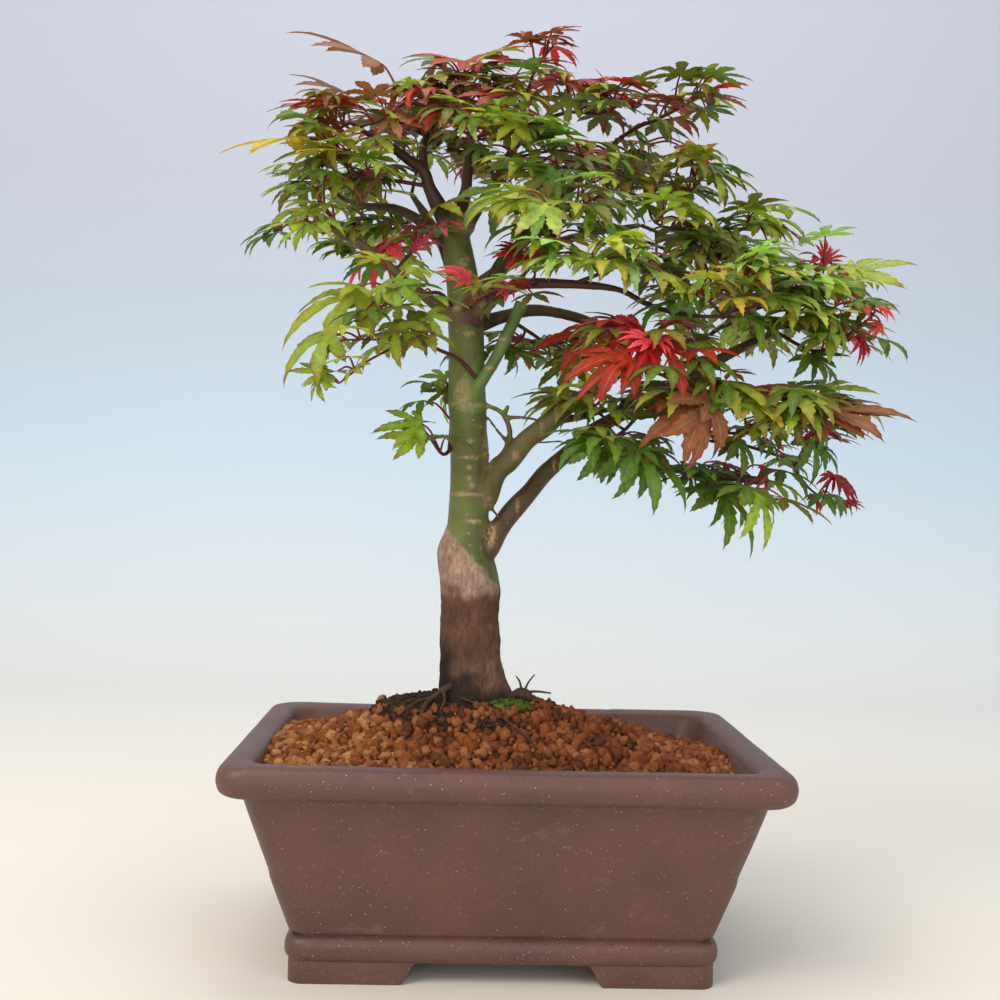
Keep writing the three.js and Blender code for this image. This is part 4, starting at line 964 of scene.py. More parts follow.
@dataclass
class Ground:
    """Akadama bed mounded round the trunk, the old peaty root ball in it, and moss."""

    pot: Pot
    base: float = 86.6
    tilt: float = 0.038
    mound: float = 30.5
    crest_x: float = -15.0
    reach_left: float = 70.0
    reach_right: float = 106.0
    reach_y: float = 42.5
    layer_top: float = 31.3
    ball_x: float = -18.0
    ball_top: float = 120.5
    ball_radius: float = 47.0
    ball_narrowing: float = 0.64
    settle: float = 2.6  # how far the bed's own surface lies below its top, to leave room for grains
    grain_spacing: float = 2.8
    grain_sizes: tuple[float, float] = (2.6, 7.8)  # smallest and largest
    crumb_spacing: float = 1.6
    crumb_sizes: tuple[float, float] = (1.0, 3.2)
    seed: int = 11

    def height(self, x: float, y: float) -> float:
        """Height of the akadama bed's surface."""
        reach = self.reach_left if x < self.crest_x else self.reach_right
        across = math.hypot((x - self.crest_x) / reach, y / self.reach_y)
        return self.base - self.tilt * x + self.mound / (1 + across**3)

    def ball_height(self, x: float, y: float) -> float:
        """Height of the root ball's surface, far below the bed outside it."""
        out = math.hypot(x - self.ball_x, y / self.ball_narrowing)
        share = min(out / self.ball_radius, 1.25)
        return self.ball_top - 5.4 * share**2.6 - 34 * max(0.0, share - 0.88) ** 1.2

    def surface(self, bands: int = 44) -> Shape:
        """The bed as a closed solid with a finely divided top.

        Args:
            bands: rings between the wall and the middle.

        Returns:
            Vertices in millimetres and faces.
        """
        def ring(z: float) -> np.ndarray:
            """The wall's inner outline at a height, half a millimetre clear of it."""
            return self.pot.outline(self.pot.inner_inset(z) + 0.5, z, 8.0, 22)

        edge = ring(90.0)
        levels = np.array([self.height(x, y) for x, y, _ in edge])
        outer = np.array([ring(z)[i] for i, z in enumerate(levels)])
        rings = [ring(self.layer_top), outer]
        for band in range(1, bands):
            share = 1 - band / bands
            rings.append(np.array([(x * share, y * share, self.height(x * share, y * share))
                                   for x, y, _ in outer]))
        vertices = np.vstack([*rings, [[0, 0, self.height(0, 0)]]])
        count = len(outer)
        faces = [
            [r * count + i, r * count + (i + 1) % count, (r + 1) * count + (i + 1) % count,
             (r + 1) * count + i]
            for r in range(len(rings) - 1) for i in range(count)
        ]
        faces.append(list(range(count))[::-1])
        last = (len(rings) - 1) * count
        faces.extend([last + i, last + (i + 1) % count, len(vertices) - 1] for i in range(count))
        return vertices, faces

    def grain_forms(self, material: Material) -> Collection:
        """A few broken-clay grain shapes, one unit across.

        Args:
            material: what they are made of.

        Returns:
            A collection that holds them and isn't in the scene.
        """
        forms = bpy.data.collections.new("grain_forms")
        for index in range(7):
            work = bmesh.new()
            bmesh.ops.create_cube(work, size=1.0)
            bmesh.ops.subdivide_edges(work, edges=work.edges, cuts=1, use_grid_fill=True)
            for vertex in work.verts:
                vertex.co = vertex.co.normalized() * (0.34 + 0.16 * vertex.co.length)
                shift = Vector((index * 7.1, index * 3.3, index))
                vertex.co *= 1 + 0.85 * noise.noise(vertex.co * 2.6 + shift)
                vertex.co.z *= 0.82
            mesh = bpy.data.meshes.new(f"grain_{index}")
            work.to_mesh(mesh)
            work.free()
            mesh.materials.append(material)
            forms.objects.link(bpy.data.objects.new(f"grain_{index}", mesh))
        return forms

    def grain_tree(self) -> NodeTree:
        """Scatters grains over a surface, turned and sized at random, each with its own tone.

        Returns:
            The geometry tree.
        """
        tree = geometry_tree("scatter_grains", {
            "Forms": ("NodeSocketCollection", None), "Spacing": ("NodeSocketFloat", 0.003),
            "Smallest": ("NodeSocketFloat", 0.003), "Largest": ("NodeSocketFloat", 0.006),
            "Seed": ("NodeSocketInt", 1), "Material": ("NodeSocketMaterial", None),
            "Keep Surface": ("NodeSocketBool", True), "Lift": ("NodeSocketFloat", 0.0),
        })
        given = tree.nodes["Group Input"]
        share = add_node(tree, "GeometryNodeInputNamedAttribute", {"data_type": "FLOAT"}, {"Name": "grains"})
        straw = add_node(tree, "GeometryNodeInputNamedAttribute", {"data_type": "FLOAT"}, {"Name": "straw"})
        points = add_node(tree, "GeometryNodeDistributePointsOnFaces", {"distribute_method": "POISSON"}, {
            "Mesh": given.outputs["Geometry"], "Distance Min": given.outputs["Spacing"],
            "Density Max": 400000.0, "Density Factor": share.outputs[0], "Seed": given.outputs["Seed"]})
        number = add_node(tree, "GeometryNodeInputIndex")
        chance = add_node(tree, "FunctionNodeRandomValue", {"data_type": "FLOAT"},
                          {"Seed": given.outputs["Seed"], "ID": number.outputs[0]})
        shifted = add_node(tree, "ShaderNodeMath", {"operation": "MULTIPLY_ADD"},
                           {0: chance.outputs[1], 1: 0.55, 2: straw.outputs[0]})
        toned = add_node(
            tree, "GeometryNodeStoreNamedAttribute", {"data_type": "FLOAT", "domain": "POINT"},
            {"Geometry": points.outputs["Points"], "Name": "tone", "Value": shifted.outputs[0]})
        lifted = add_node(tree, "ShaderNodeCombineXYZ", None, {"Z": given.outputs["Lift"]})
        raised = add_node(tree, "GeometryNodeSetPosition", None,
                          {"Geometry": toned.outputs[0], "Offset": lifted.outputs[0]})
        turn = add_node(tree, "FunctionNodeRandomValue", {"data_type": "FLOAT_VECTOR"},
                        {0: (0, 0, 0), 1: (6.28, 6.28, 6.28), "Seed": 5})
        size = add_node(tree, "FunctionNodeRandomValue", {"data_type": "FLOAT"},
                        {2: given.outputs["Smallest"], 3: given.outputs["Largest"], "Seed": 9})
        kind = add_node(tree, "FunctionNodeRandomValue", {"data_type": "INT"}, {4: 0, 5: 6, "Seed": 3})
        forms = add_node(tree, "GeometryNodeCollectionInfo", None,
                         {"Collection": given.outputs["Forms"], "Separate Children": True,
                          "Reset Children": True})
        grains = add_node(tree, "GeometryNodeInstanceOnPoints", None, {
            "Points": raised.outputs[0], "Instance": forms.outputs[0], "Pick Instance": True,
            "Instance Index": kind.outputs[2], "Rotation": turn.outputs[0], "Scale": size.outputs[1]})
        real = add_node(tree, "GeometryNodeRealizeInstances", None, {0: grains.outputs[0]})
        kept = add_node(tree, "GeometryNodeSwitch", {"input_type": "GEOMETRY"},
                        {0: given.outputs["Keep Surface"], "True": given.outputs["Geometry"]})
        return end_tree(tree, real.outputs[0], kept.outputs[0])

    def bed(self, clay: Material, forms: Collection, tree: NodeTree) -> None:
        """The akadama bed: its surface and a layer of grains."""
        vertices, faces = self.surface()
        for index, (x, y, z) in enumerate(vertices):
            if z > self.layer_top + 1:
                vertices[index, 2] += 0.9 * fractal((x, y, 0), 9, 2) - self.settle
                if math.hypot(x - self.ball_x, y / self.ball_narrowing) < 0.97 * self.ball_radius:
                    vertices[index, 2] = max(vertices[index, 2], self.ball_height(x, y) - 1.9)
        bed = mesh_object("akadama_bed", place(vertices), faces, clay)
        top = vertices[:, 2] > self.layer_top + 5
        x, y = vertices[:, 0], vertices[:, 1]
        out = np.hypot(x - self.ball_x, y / self.ball_narrowing) / self.ball_radius
        turn = np.arctan2(y / self.ball_narrowing, x - self.ball_x)
        bare = 0.62 - 0.2 * np.cos(turn) - 0.06 * np.sin(turn)
        store(bed.data, "grains", "FLOAT", np.where(top, smoothstep(0.0, 0.22, out - bare), 0.0))
        patch = np.array([fractal((a, b, 3.0), 26, 2) for a, b in zip(x, y)])
        straw = 0.22 * smoothstep(-50, -84, x + 0.35 * y + 40 * patch) + 0.12 * smoothstep(60, 100, x)
        store(bed.data, "straw", "FLOAT", 0.02 + straw + 0.1 * np.clip(patch, -0.3, 1))
        # painted shade: the bed's own surface between the grains gets the darkest tone, standing in for the
        # shade in the gaps between them
        store(bed.data, "tone", "FLOAT", np.full(len(vertices), 0.05))
        run_tree(bed, tree, {
            "Forms": forms, "Spacing": self.grain_spacing * MM,
            "Smallest": self.grain_sizes[0] * MM, "Largest": self.grain_sizes[1] * MM,
            "Seed": self.seed, "Material": clay, "Keep Surface": True, "Lift": 0.6 * MM})
        bed.data.shade_smooth()
        hand_over(bed, "soil_bed")

    def root_ball(self, soil: Material, forms: Collection,
                  tree: NodeTree) -> None:
        """The dark root ball: a lumpy dome under crumbs of peat."""
        spokes, bands = 110, 36
        vertices, faces = [(self.ball_x, 0.0, self.ball_top)], []
        for band in range(1, bands + 1):
            for spoke in range(spokes):
                angle = 2 * math.pi * spoke / spokes
                out = self.ball_radius * band / bands
                x = self.ball_x + out * math.cos(angle)
                y = out * self.ball_narrowing * math.sin(angle)
                rough = 1.2 * fractal((x, y, 0), 7, 4) - 0.7
                vertices.append((x, y, self.ball_height(x, y) + rough))
        under = len(vertices)
        vertices.extend((self.ball_x + self.ball_radius * math.cos(2 * math.pi * s / spokes),
                         self.ball_radius * self.ball_narrowing * math.sin(2 * math.pi * s / spokes), 64.0)
                        for s in range(spokes))
        for spoke in range(spokes):
            after = (spoke + 1) % spokes
            faces.append([0, 1 + spoke, 1 + after])
            faces.extend([1 + b * spokes + spoke, 1 + (b + 1) * spokes + spoke,
                          1 + (b + 1) * spokes + after, 1 + b * spokes + after] for b in range(bands - 1))
            last = 1 + (bands - 1) * spokes
            faces.append([last + spoke, under + spoke, under + after, last + after])
        faces.append([under + s for s in range(spokes)][::-1])
        points = np.array(vertices)
        ball = mesh_object("root_ball_soil", place(points), faces, soil)
        share = np.where(points[:, 2] > 100, 0.9, 0.0)
        store(ball.data, "grains", "FLOAT", share)
        store(ball.data, "straw", "FLOAT", np.zeros(len(points)))
        run_tree(ball, tree, {
            "Forms": forms, "Spacing": self.crumb_spacing * MM,
            "Smallest": self.crumb_sizes[0] * MM, "Largest": self.crumb_sizes[1] * MM,
            "Seed": self.seed + 1, "Material": soil, "Keep Surface": True, "Lift": 0.0})
        hand_over(ball, "root_ball")

    def moss(self) -> None:
        """The moss cushion at the trunk's foot: a lumpy pad covered with short shoots."""
        material = Moss().material()
        work = bmesh.new()
        bmesh.ops.create_icosphere(work, subdivisions=4, radius=1.0)
        for vertex in work.verts:
            lump = 1 + 0.22 * noise.noise(vertex.co * 2.3) + 0.12 * noise.noise(vertex.co * 6)
            vertex.co = Vector(place((2 + 10.5 * vertex.co.x * lump, -16 + 6.5 * vertex.co.y * lump,
                                      117.2 + 2.6 * vertex.co.z * lump)))
        mesh = bpy.data.meshes.new("moss_cushion")
        work.to_mesh(mesh)
        work.free()
        cushion = bpy.data.objects.new("moss_cushion", mesh)
        bpy.context.scene.collection.objects.link(cushion)
        mesh.materials.append(material)
        run_tree(cushion, self.moss_tree(), {"Spacing": 0.5 * MM, "Shoot": 1.5 * MM, "Material": material})
        cushion.data.shade_smooth()
        hand_over(cushion, "moss_patch")

    @staticmethod
    def moss_tree() -> NodeTree:
        """Stands short three-sided shoots all over a cushion.

        Returns:
            The geometry tree.
        """
        tree = geometry_tree("moss_shoots", {
            "Spacing": ("NodeSocketFloat", 0.001), "Shoot": ("NodeSocketFloat", 0.002),
            "Material": ("NodeSocketMaterial", None)})
        given = tree.nodes["Group Input"]
        points = add_node(tree, "GeometryNodeDistributePointsOnFaces", {"distribute_method": "POISSON"}, {
            "Mesh": given.outputs["Geometry"], "Distance Min": given.outputs["Spacing"],
            "Density Max": 3e6, "Seed": 4})
        shoot = add_node(tree, "GeometryNodeMeshCone", None,
                         {"Vertices": 3, "Radius Top": 0.0, "Radius Bottom": 0.22, "Depth": 1.0})
        lean = add_node(tree, "FunctionNodeRandomValue", {"data_type": "FLOAT_VECTOR"},
                        {0: (-0.6, -0.6, -3), 1: (0.6, 0.6, 3), "Seed": 8})
        turned = add_node(tree, "FunctionNodeRotateRotation", {"rotation_space": "LOCAL"},
                          {0: points.outputs["Rotation"], 1: lean.outputs[0]})
        blades = add_node(tree, "GeometryNodeInstanceOnPoints", None, {
            "Points": points.outputs["Points"], "Instance": shoot.outputs[0],
            "Rotation": turned.outputs[0], "Scale": given.outputs["Shoot"]})
        real = add_node(tree, "GeometryNodeRealizeInstances", None, {0: blades.outputs[0]})
        return end_tree(tree, real.outputs[0], given.outputs["Geometry"])

    def build(self) -> None:
        """Makes everything that lies on the drainage layer."""
        clay, soil = BakedClay().material(), Peat().material()
        tree = self.grain_tree()
        forms = self.grain_forms(clay)
        self.bed(clay, forms, tree)
        self.root_ball(soil, forms, tree)
        self.moss()


# ---- Wood -------------------------------------------------------------------------------------------


@dataclass(frozen=True)
class Arm:
    """One run of wood: its route, the radius at each point of it, and its bark's colour."""

    route: Route
    radii: list[float]
    bark: str = "6b6134"


TRUNK = Arm(
    route=[
        (-14, 0, 104), (-15, 0, 120), (-17, 0, 137), (-18, 0, 166), (-19, 0, 179), (-21, 0, 189),
        (-20, 0, 201), (-20, 0, 225), (-21, 0, 245), (-22, 0, 264), (-23, 0, 284), (-24, 0, 304),
        (-26, 0, 323), (-30, 0, 343), (-32, 0, 355),
    ],
    radii=[18.5, 16.2, 14.4, 13.7, 13.6, 12.2, 10.2, 9.4, 9.1, 9.2, 8.8, 8.7, 7.9, 7, 6.2],
    bark="646b31",
)

LIMBS: dict[str, list[Arm]] = {
    "limb_low_right": [
        Arm([(-12, 0, 190), (-1, 3, 207), (10, 6, 220), (18, 9, 230), (31, 12, 242), (42, 14, 252),
             (65, 14, 266), (90, 12, 281), (114, 10, 295), (132, 10, 304)],
            [5.4, 5, 4.7, 4.3, 4.1, 3.9, 3.4, 3, 2.6, 1.8], "5e4a28"),
        Arm([(39, 13, 249), (46, 8, 238), (61, 0, 235), (80, -8, 233), (120, -22, 228)],
            [2.8, 2.6, 2.4, 2.2, 2.1], "5a4030"),
    ],
    "limb_middle_right": [
        Arm([(-13, -3, 216), (-7, -5, 229), (-1, -7, 235), (7, -9, 245), (16, -12, 252), (23, -15, 259),
             (36, -22, 268), (49, -30, 277), (62, -34, 287)],
            [5.6, 5.4, 5.2, 5.1, 4.9, 4.4, 3.4, 2.6, 1.8], "6a6030"),
        Arm([(21, -13, 255), (33, -10, 257), (46, -4, 261), (64, 2, 264)], [2.2, 1.8, 1.4, 1], "53391f"),
    ],
    "limb_green_stub": [
        Arm([(-22, -5, 263), (-17, -8, 271), (-10, -10, 282), (-4, -11, 295), (3, -12, 311)],
            [4.2, 3.4, 3.1, 3.1, 3.3], "6c8540"),
    ],
    "limb_upper_right": [
        Arm([(-21, 3, 305), (-14, 5, 317), (-6, 8, 334), (2, 10, 343), (16, 14, 360), (29, 16, 376),
             (42, 16, 389), (51, 12, 399)], [4.8, 4.2, 3.8, 3.4, 2.8, 2.4, 2, 1.5], "5a4a2c"),
    ],
    "limb_level_right": [
        Arm([(-22, 7, 300), (-14, 10, 304), (-4, 13, 308), (12, 17, 312), (34, 20, 309), (56, 28, 302),
             (80, 36, 300), (105, 42, 304)], [3.8, 3.6, 3.4, 3, 2.6, 2.2, 1.8, 1.4], "66503a"),
    ],
    "limb_long_right": [
        Arm([(-22, -6, 305), (-12, -10, 312), (0, -14, 319), (22, -22, 319), (46, -30, 316),
             (61, -36, 308), (78, -42, 303), (99, -48, 302)],
            [3.2, 3, 2.8, 2.4, 1.6, 1.4, 1.2, 1], "5b3a2a"),
    ],
    "limb_left": [
        Arm([(-28, -2, 303), (-42, -6, 312), (-49, -8, 317), (-56, -10, 322), (-66, -12, 330),
             (-75, -14, 336), (-83, -15, 340), (-90, -15, 344), (-94, -14, 350)],
            [3.4, 2.8, 2.6, 2.4, 2.4, 2.2, 2.1, 1.9, 1.3], "6d5a36"),
    ],
    "limb_upper_left": [
        Arm([(-32, 2, 341), (-42, 4, 348), (-53, 8, 356), (-63, 12, 360), (-76, 18, 362),
             (-87, 24, 366)], [3.2, 3, 2.6, 2.2, 1.8, 1.3], "544428"),
    ],
    "limb_top_left": [
        Arm([(-34, -2, 350), (-43, -4, 366), (-46, -5, 374), (-54, -8, 379), (-64, -12, 385),
             (-74, -16, 389)], [4, 3.4, 2.9, 2.5, 2.1, 1.5], "4d3222"),
        Arm([(-45, -4, 370), (-47, -4, 385), (-44, -2, 395)], [2.4, 2.1, 1.4], "4d2c22"),
    ],
    "limb_top_centre": [
        Arm([(-31, 0, 351), (-26, 2, 365), (-25, 3, 375), (-24, 4, 388), (-25, 5, 401)],
            [4.2, 3.2, 2.8, 2.3, 1.5], "4d3222"),
    ],
    "limb_top_right": [
        Arm([(-28, 3, 347), (-18, 6, 362), (-10, 8, 375), (-6, 9, 385), (1, 8, 395), (13, 5, 405)],
            [4, 3, 2.8, 2.4, 2, 1.5], "523626"),
    ],
    "limb_back_left": [
        Arm([(-30, 5, 328), (-38, 28, 348), (-47, 50, 366), (-55, 66, 380)], [3.6, 3, 2.4, 1.5], "544428"),
    ],
    "limb_back_right": [
        Arm([(-24, 5, 316), (-7, 30, 334), (15, 52, 350), (42, 66, 362), (71, 72, 369)],
            [4, 3.4, 2.8, 2.2, 1.5], "5a4a2c"),
    ],
}


@dataclass(frozen=True)
class Scar:
    """A corky mark on the bark: where it is, how long, wide and raised it is."""

    at: Point
    reach: Point  # half sizes along X, Y and Z
    height: float = 0.4


SCARS = (
    Scar((-24, -9, 218), (9, 8, 0.8)), Scar((-21, -9, 261.5), (12, 12, 1.0)),
    Scar((-20, -9, 236), (4.6, 5, 0.9)), Scar((-17, -9, 205), (3.4, 5, 0.9)),
    Scar((-20, -9.3, 244), (1.7, 3, 1.1)), Scar((-20.5, -9.3, 231), (1.2, 3, 0.9)),
    Scar((-20.2, -9.3, 226), (1.1, 3, 0.8)), Scar((-19, -9.3, 222.5), (1.5, 3, 1.3)),
    Scar((-15, -9, 251), (1.3, 3, 0.8)), Scar((-22, -9, 296), (2.2, 3, 1.2)),
    Scar((-29, -7, 308), (2.2, 3, 1.3)), Scar((-23, -9, 326), (3.6, 4, 1.0)),
    Scar((-11, -4, 240), (2.6, 7, 8.0), 0.9), Scar((-11, -3, 215), (2.2, 6, 4.5), 0.7),
    Scar((-9, -4, 199), (2.6, 6, 5.5), 0.8), Scar((-24.5, -9, 266), (3.2, 5, 6.0), 0.9),
    Scar((-15, -6, 313), (5.0, 8, 7.0), 1.8), Scar((2, -7, 237), (1.8, 7, 2.6), 0.6),
    Scar((14, -11, 251), (0.8, 6, 3.6)), Scar((8, -9, 247), (2.4, 3, 2.4)),
    Scar((4, 4, 213), (0.9, 6, 3.4)), Scar((22, 9, 234), (0.8, 6, 3.0)),
    Scar((30, 12, 242), (0.8, 5, 3.2)), Scar((-12, -10, 279), (3, 4, 0.8)),
    Scar((-5, -11, 293), (3, 4, 0.8)), Scar((-28, 0, 348), (12, 10, 3.0), 1.0),
    Scar((-25, -6, 331), (2, 5, 2.5), 0.8), Scar((60, 14, 263), (2.5, 5, 3.0)),
)


@dataclass
class Wood:
    """Trunk and limbs as the one grown piece they are: tubes melted together, then barked."""

    voxel: float = 0.8
    graft_left: float = 203.0  # height of the graft line on the trunk's left and right
    graft_right: float = 180.0
    lump_left: float = 191.0  # height of the swelling beside the graft line on either side
    lump_right: float = 172.0
    flare_top: float = 140.0  # where the trunk's foot starts to flare, and where it is widest
    flare_full: float = 108.0
    fissure: float = 0.75  # depth of the old bark's cracks
    anchor: float = 1.7  # how far inside its parent a limb starts, in limb radii
    collar: float = 0.14  # how much a limb swells where it leaves its parent

    def trunk_tube(self) -> Shape:
        """The trunk with its buttressed foot and the swelling over the graft.

        Returns:
            Vertices in millimetres and faces.
        """
        rows = run_rows(TRUNK.route, TRUNK.radii, 12)
        sides = 72
        vertices, faces = tube(rows[:, :3], rows[:, 3], sides)
        for index, vertex in enumerate(vertices):
            centre = rows[min(index // sides, len(rows) - 1), :3]
            angle = math.atan2(vertex[1] - centre[1], vertex[0] - centre[0])
            low = float(smoothstep(self.flare_top, self.flare_full, centre[2]))
            buttress = low * (0.10 * math.cos(3 * angle + 0.6) + 0.07 * math.cos(5 * angle + 2.0) + 0.10)
            left = max(0.0, -math.cos(angle)) * math.exp(-(((centre[2] - self.lump_left) / 7) ** 2))
            right = max(0.0, math.cos(angle + 0.3)) * math.exp(-(((centre[2] - self.lump_right) / 8) ** 2))
            lump = 0.035 * fractal((math.cos(angle) * 2, math.sin(angle) * 2, centre[2] / 22), 1.0, 2)
            vertices[index] = centre + (vertex - centre) * (1 + buttress + 0.10 * left + 0.07 * right + lump)
        return vertices, faces

    def limb_tubes(self) -> list[Shape]:
        """Every limb, swelling into a collar where it starts."""
        parts = []
        for arms in LIMBS.values():
            for arm in arms:
                first, second = np.array(arm.route[0], float), np.array(arm.route[1], float)
                back = (first - second) / np.linalg.norm(first - second) * self.anchor * arm.radii[0]
                route = [tuple(first + back), *arm.route]
                rows = run_rows(route, [0.35 * arm.radii[0], *arm.radii], 6)
                legs = np.linalg.norm(np.diff(rows[:, :3], axis=0), axis=1)
                walked = np.concatenate([[0], np.cumsum(legs)])
                past = (walked - self.anchor * arm.radii[0]) / (2.2 * arm.radii[0])
                collar = 1 + self.collar * np.exp(-(past**2))
                knots = 1 + 0.05 * np.sin(walked / 4.1 + arm.radii[0]) * np.exp(-walked / 200)
                parts.append(tube(rows[:, :3], rows[:, 3] * collar * knots, 14))
        return parts

    def melted(self) -> Object:
        """All the wood as one skin.

        Returns:
            The joined object, in the frame.
        """
        vertices, faces = join_parts([self.trunk_tube(), *self.limb_tubes(), *spur_tubes()])
        wood = mesh_object("maple_wood", vertices * MM, faces)
        melt = wood.modifiers.new("melt", "REMESH")
        melt.mode, melt.voxel_size, melt.adaptivity = "VOXEL", self.voxel * MM, 0.0
        soften = wood.modifiers.new("soften", "SMOOTH")
        soften.factor, soften.iterations = 0.5, 5
        return bake_modifiers(wood)

    def bark_colours(self, points: np.ndarray) -> np.ndarray:
        """Colour of the bark at each point, from the nearest run of wood.

        Args:
            points: places in millimetres.

        Returns:
            Linear RGBA rows.
        """
        samples = []
        for arm in [TRUNK, *(arm for arms in LIMBS.values() for arm in arms)]:
            rows = run_rows(arm.route, arm.radii, 8)
            colour = np.array(linear(arm.bark)[:3])
            samples.extend((row[:3], row[3], colour) for row in rows)
        tree = kdtree.KDTree(len(samples))
        for index, (centre, _, _) in enumerate(samples):
            tree.insert(centre, index)
        tree.balance()
        colours = np.ones((len(points), 4))
        for index, point in enumerate(points):
            total, blend = 0.0, np.zeros(3)
            for _, found, distance in tree.find_n(point, 4):
                weight = math.exp(-max(0.0, distance - samples[found][1]) / 1.2) + 1e-4
                total += weight
                blend += weight * samples[found][2]
            colours[index, :3] = blend / total
        return colours

    def old_bark(self, points: np.ndarray) -> np.ndarray:
        """How old the bark is at each point: 1 below the graft line, 0 on green wood."""
        x, z = points[:, 0], points[:, 2]
        across = np.clip((x + 32) / 22, 0, 1.2)
        line = self.graft_left + (self.graft_right - self.graft_left) * across
        wobble = np.array([1.8 * fractal(p, 5, 3) for p in points])
        on_trunk = np.hypot(x + 18, points[:, 1]) < 24
        return np.where(on_trunk, smoothstep(1.6, -1.6, z - line + wobble), 0.0)

    def old_tint(self, points: np.ndarray, normals: np.ndarray) -> np.ndarray:
        """Colour of the old bark: pale straw under the graft, grey-brown below, black at the foot."""
        pale, brown, deep, wet = (np.array(linear(c)[:3]) for c in ("b39480", "6a4936", "7a5b45", "221610"))
        tints = np.ones((len(points), 4))
        for index, (point, normal) in enumerate(zip(points, normals)):
            x, _, z = point
            shift = 7 * fractal(point, 13, 3)
            low = float(smoothstep(177, 166, z + shift))
            lower = float(smoothstep(150, 132, z + 1.6 * shift))
            foot = float(smoothstep(136, 119, z + 1.4 * shift + 4 * normal[0]))
            side = float(smoothstep(-21, -29, x + 0.5 * shift)) * float(smoothstep(153, 138, z + shift))
            colour = pale + (brown - pale) * low
            colour = colour + (deep - colour) * 0.75 * lower
            colour = colour + (wet - colour) * max(foot, side)
            tints[index, :3] = colour
        return tints

    def scars(self, points: np.ndarray) -> tuple[np.ndarray, np.ndarray]:
        """Corkiness and raised height at each point.

        Returns:
            Corkiness from 0 to 1, and height in millimetres.
        """
        cork, height = np.zeros(len(points)), np.zeros(len(points))
        for scar in SCARS:
            apart = (points - np.array(scar.at)) / (np.array(scar.reach) * 1.15)
            near = np.exp(-(apart**2).sum(1) ** 1.5)
            cork = np.maximum(cork, near)
            height = np.maximum(height, scar.height * near)
        return cork, height

    def build(self) -> Object:
        """Makes the wood, presses the bark into it and colours it.

        Returns:
            The finished piece.
        """
        wood = self.melted()
        points = vertex_array(wood.data) / MM
        normals = normal_array(wood.data)
        old = self.old_bark(points)
        cork, raised = self.scars(points)
        lift = raised.copy()
        for index, (point, age) in enumerate(zip(points, old)):
            x, y, z = point
            if age > 0.02:
                ridge = fractal((x, y, z / 5.5), 3.2, 4)
                rough = fractal((x, y, z / 1.6), 6, 3)
                lift[index] += age * (self.fissure * ridge + 0.5 * rough + 0.35)
            lift[index] += 0.10 * fractal(point, 5, 2) + cork[index] * 0.35 * fractal(point, 1.6, 2)
        points += normals * lift[:, None]
        tint = self.bark_colours(points)
        # painted light: across the trunk the bark tint is painted lighter on the left and darker on the
        # right, as the key light falls from the left; elsewhere the tint is scaled to 0.9
        shade = 0.90 + 0.25 * np.clip((-points[:, 0] - 14) / 10, -1, 1) * (np.abs(points[:, 0] + 22) < 14)
        tint[:, :3] *= shade[:, None]
        tint = tint + (self.old_tint(points, normals) - tint) * old[:, None]
        mesh = wood.data
        mesh.vertices.foreach_set("co", place(points).astype(np.float32).ravel())
        store(mesh, "tint", "FLOAT_COLOR", tint)
        store(mesh, "old", "FLOAT", old)
        store(mesh, "scar", "FLOAT", np.clip(cork * 1.3, 0, 1))
        dress(wood, Bark().material())
        hand_over(wood, "trunk", *LIMBS)
        return wood


def spur_tubes() -> list[Shape]:
    """The cut spur and the thin bare twigs to the right of the trunk."""
    runs = [
        ([(-13, -2, 262), (-5, -5, 258), (-1, -6, 249), (-3, -6, 240), (-8, -6, 234)],
         [1.2, 1.3, 1.5, 1.6, 1.8]),
        ([(-4, -5, 257), (-2, -5, 262)], [1.3, 1.2]),
        ([(-12, -3, 256), (-4, -5, 246), (1, -6, 243)], [0.8, 1.0, 1.3]),
        ([(-2, -6, 256), (6, -7, 256), (13, -8, 255), (20, -9, 255)], [1.2, 0.9, 0.8, 0.6]),
        ([(0, -6, 243), (12, -5, 244), (24, -4, 245), (33, -2, 243)], [1.2, 0.8, 0.7, 0.6]),
        ([(-9, -2, 212), (-5, -4, 207), (-1, -5, 203)], [0.9, 0.8, 0.8]),
    ]
    parts = []
    for route, radii in runs:
        rows = run_rows(route, radii, 5)
        parts.append(tube(rows[:, :3], rows[:, 3], 9))
    return parts


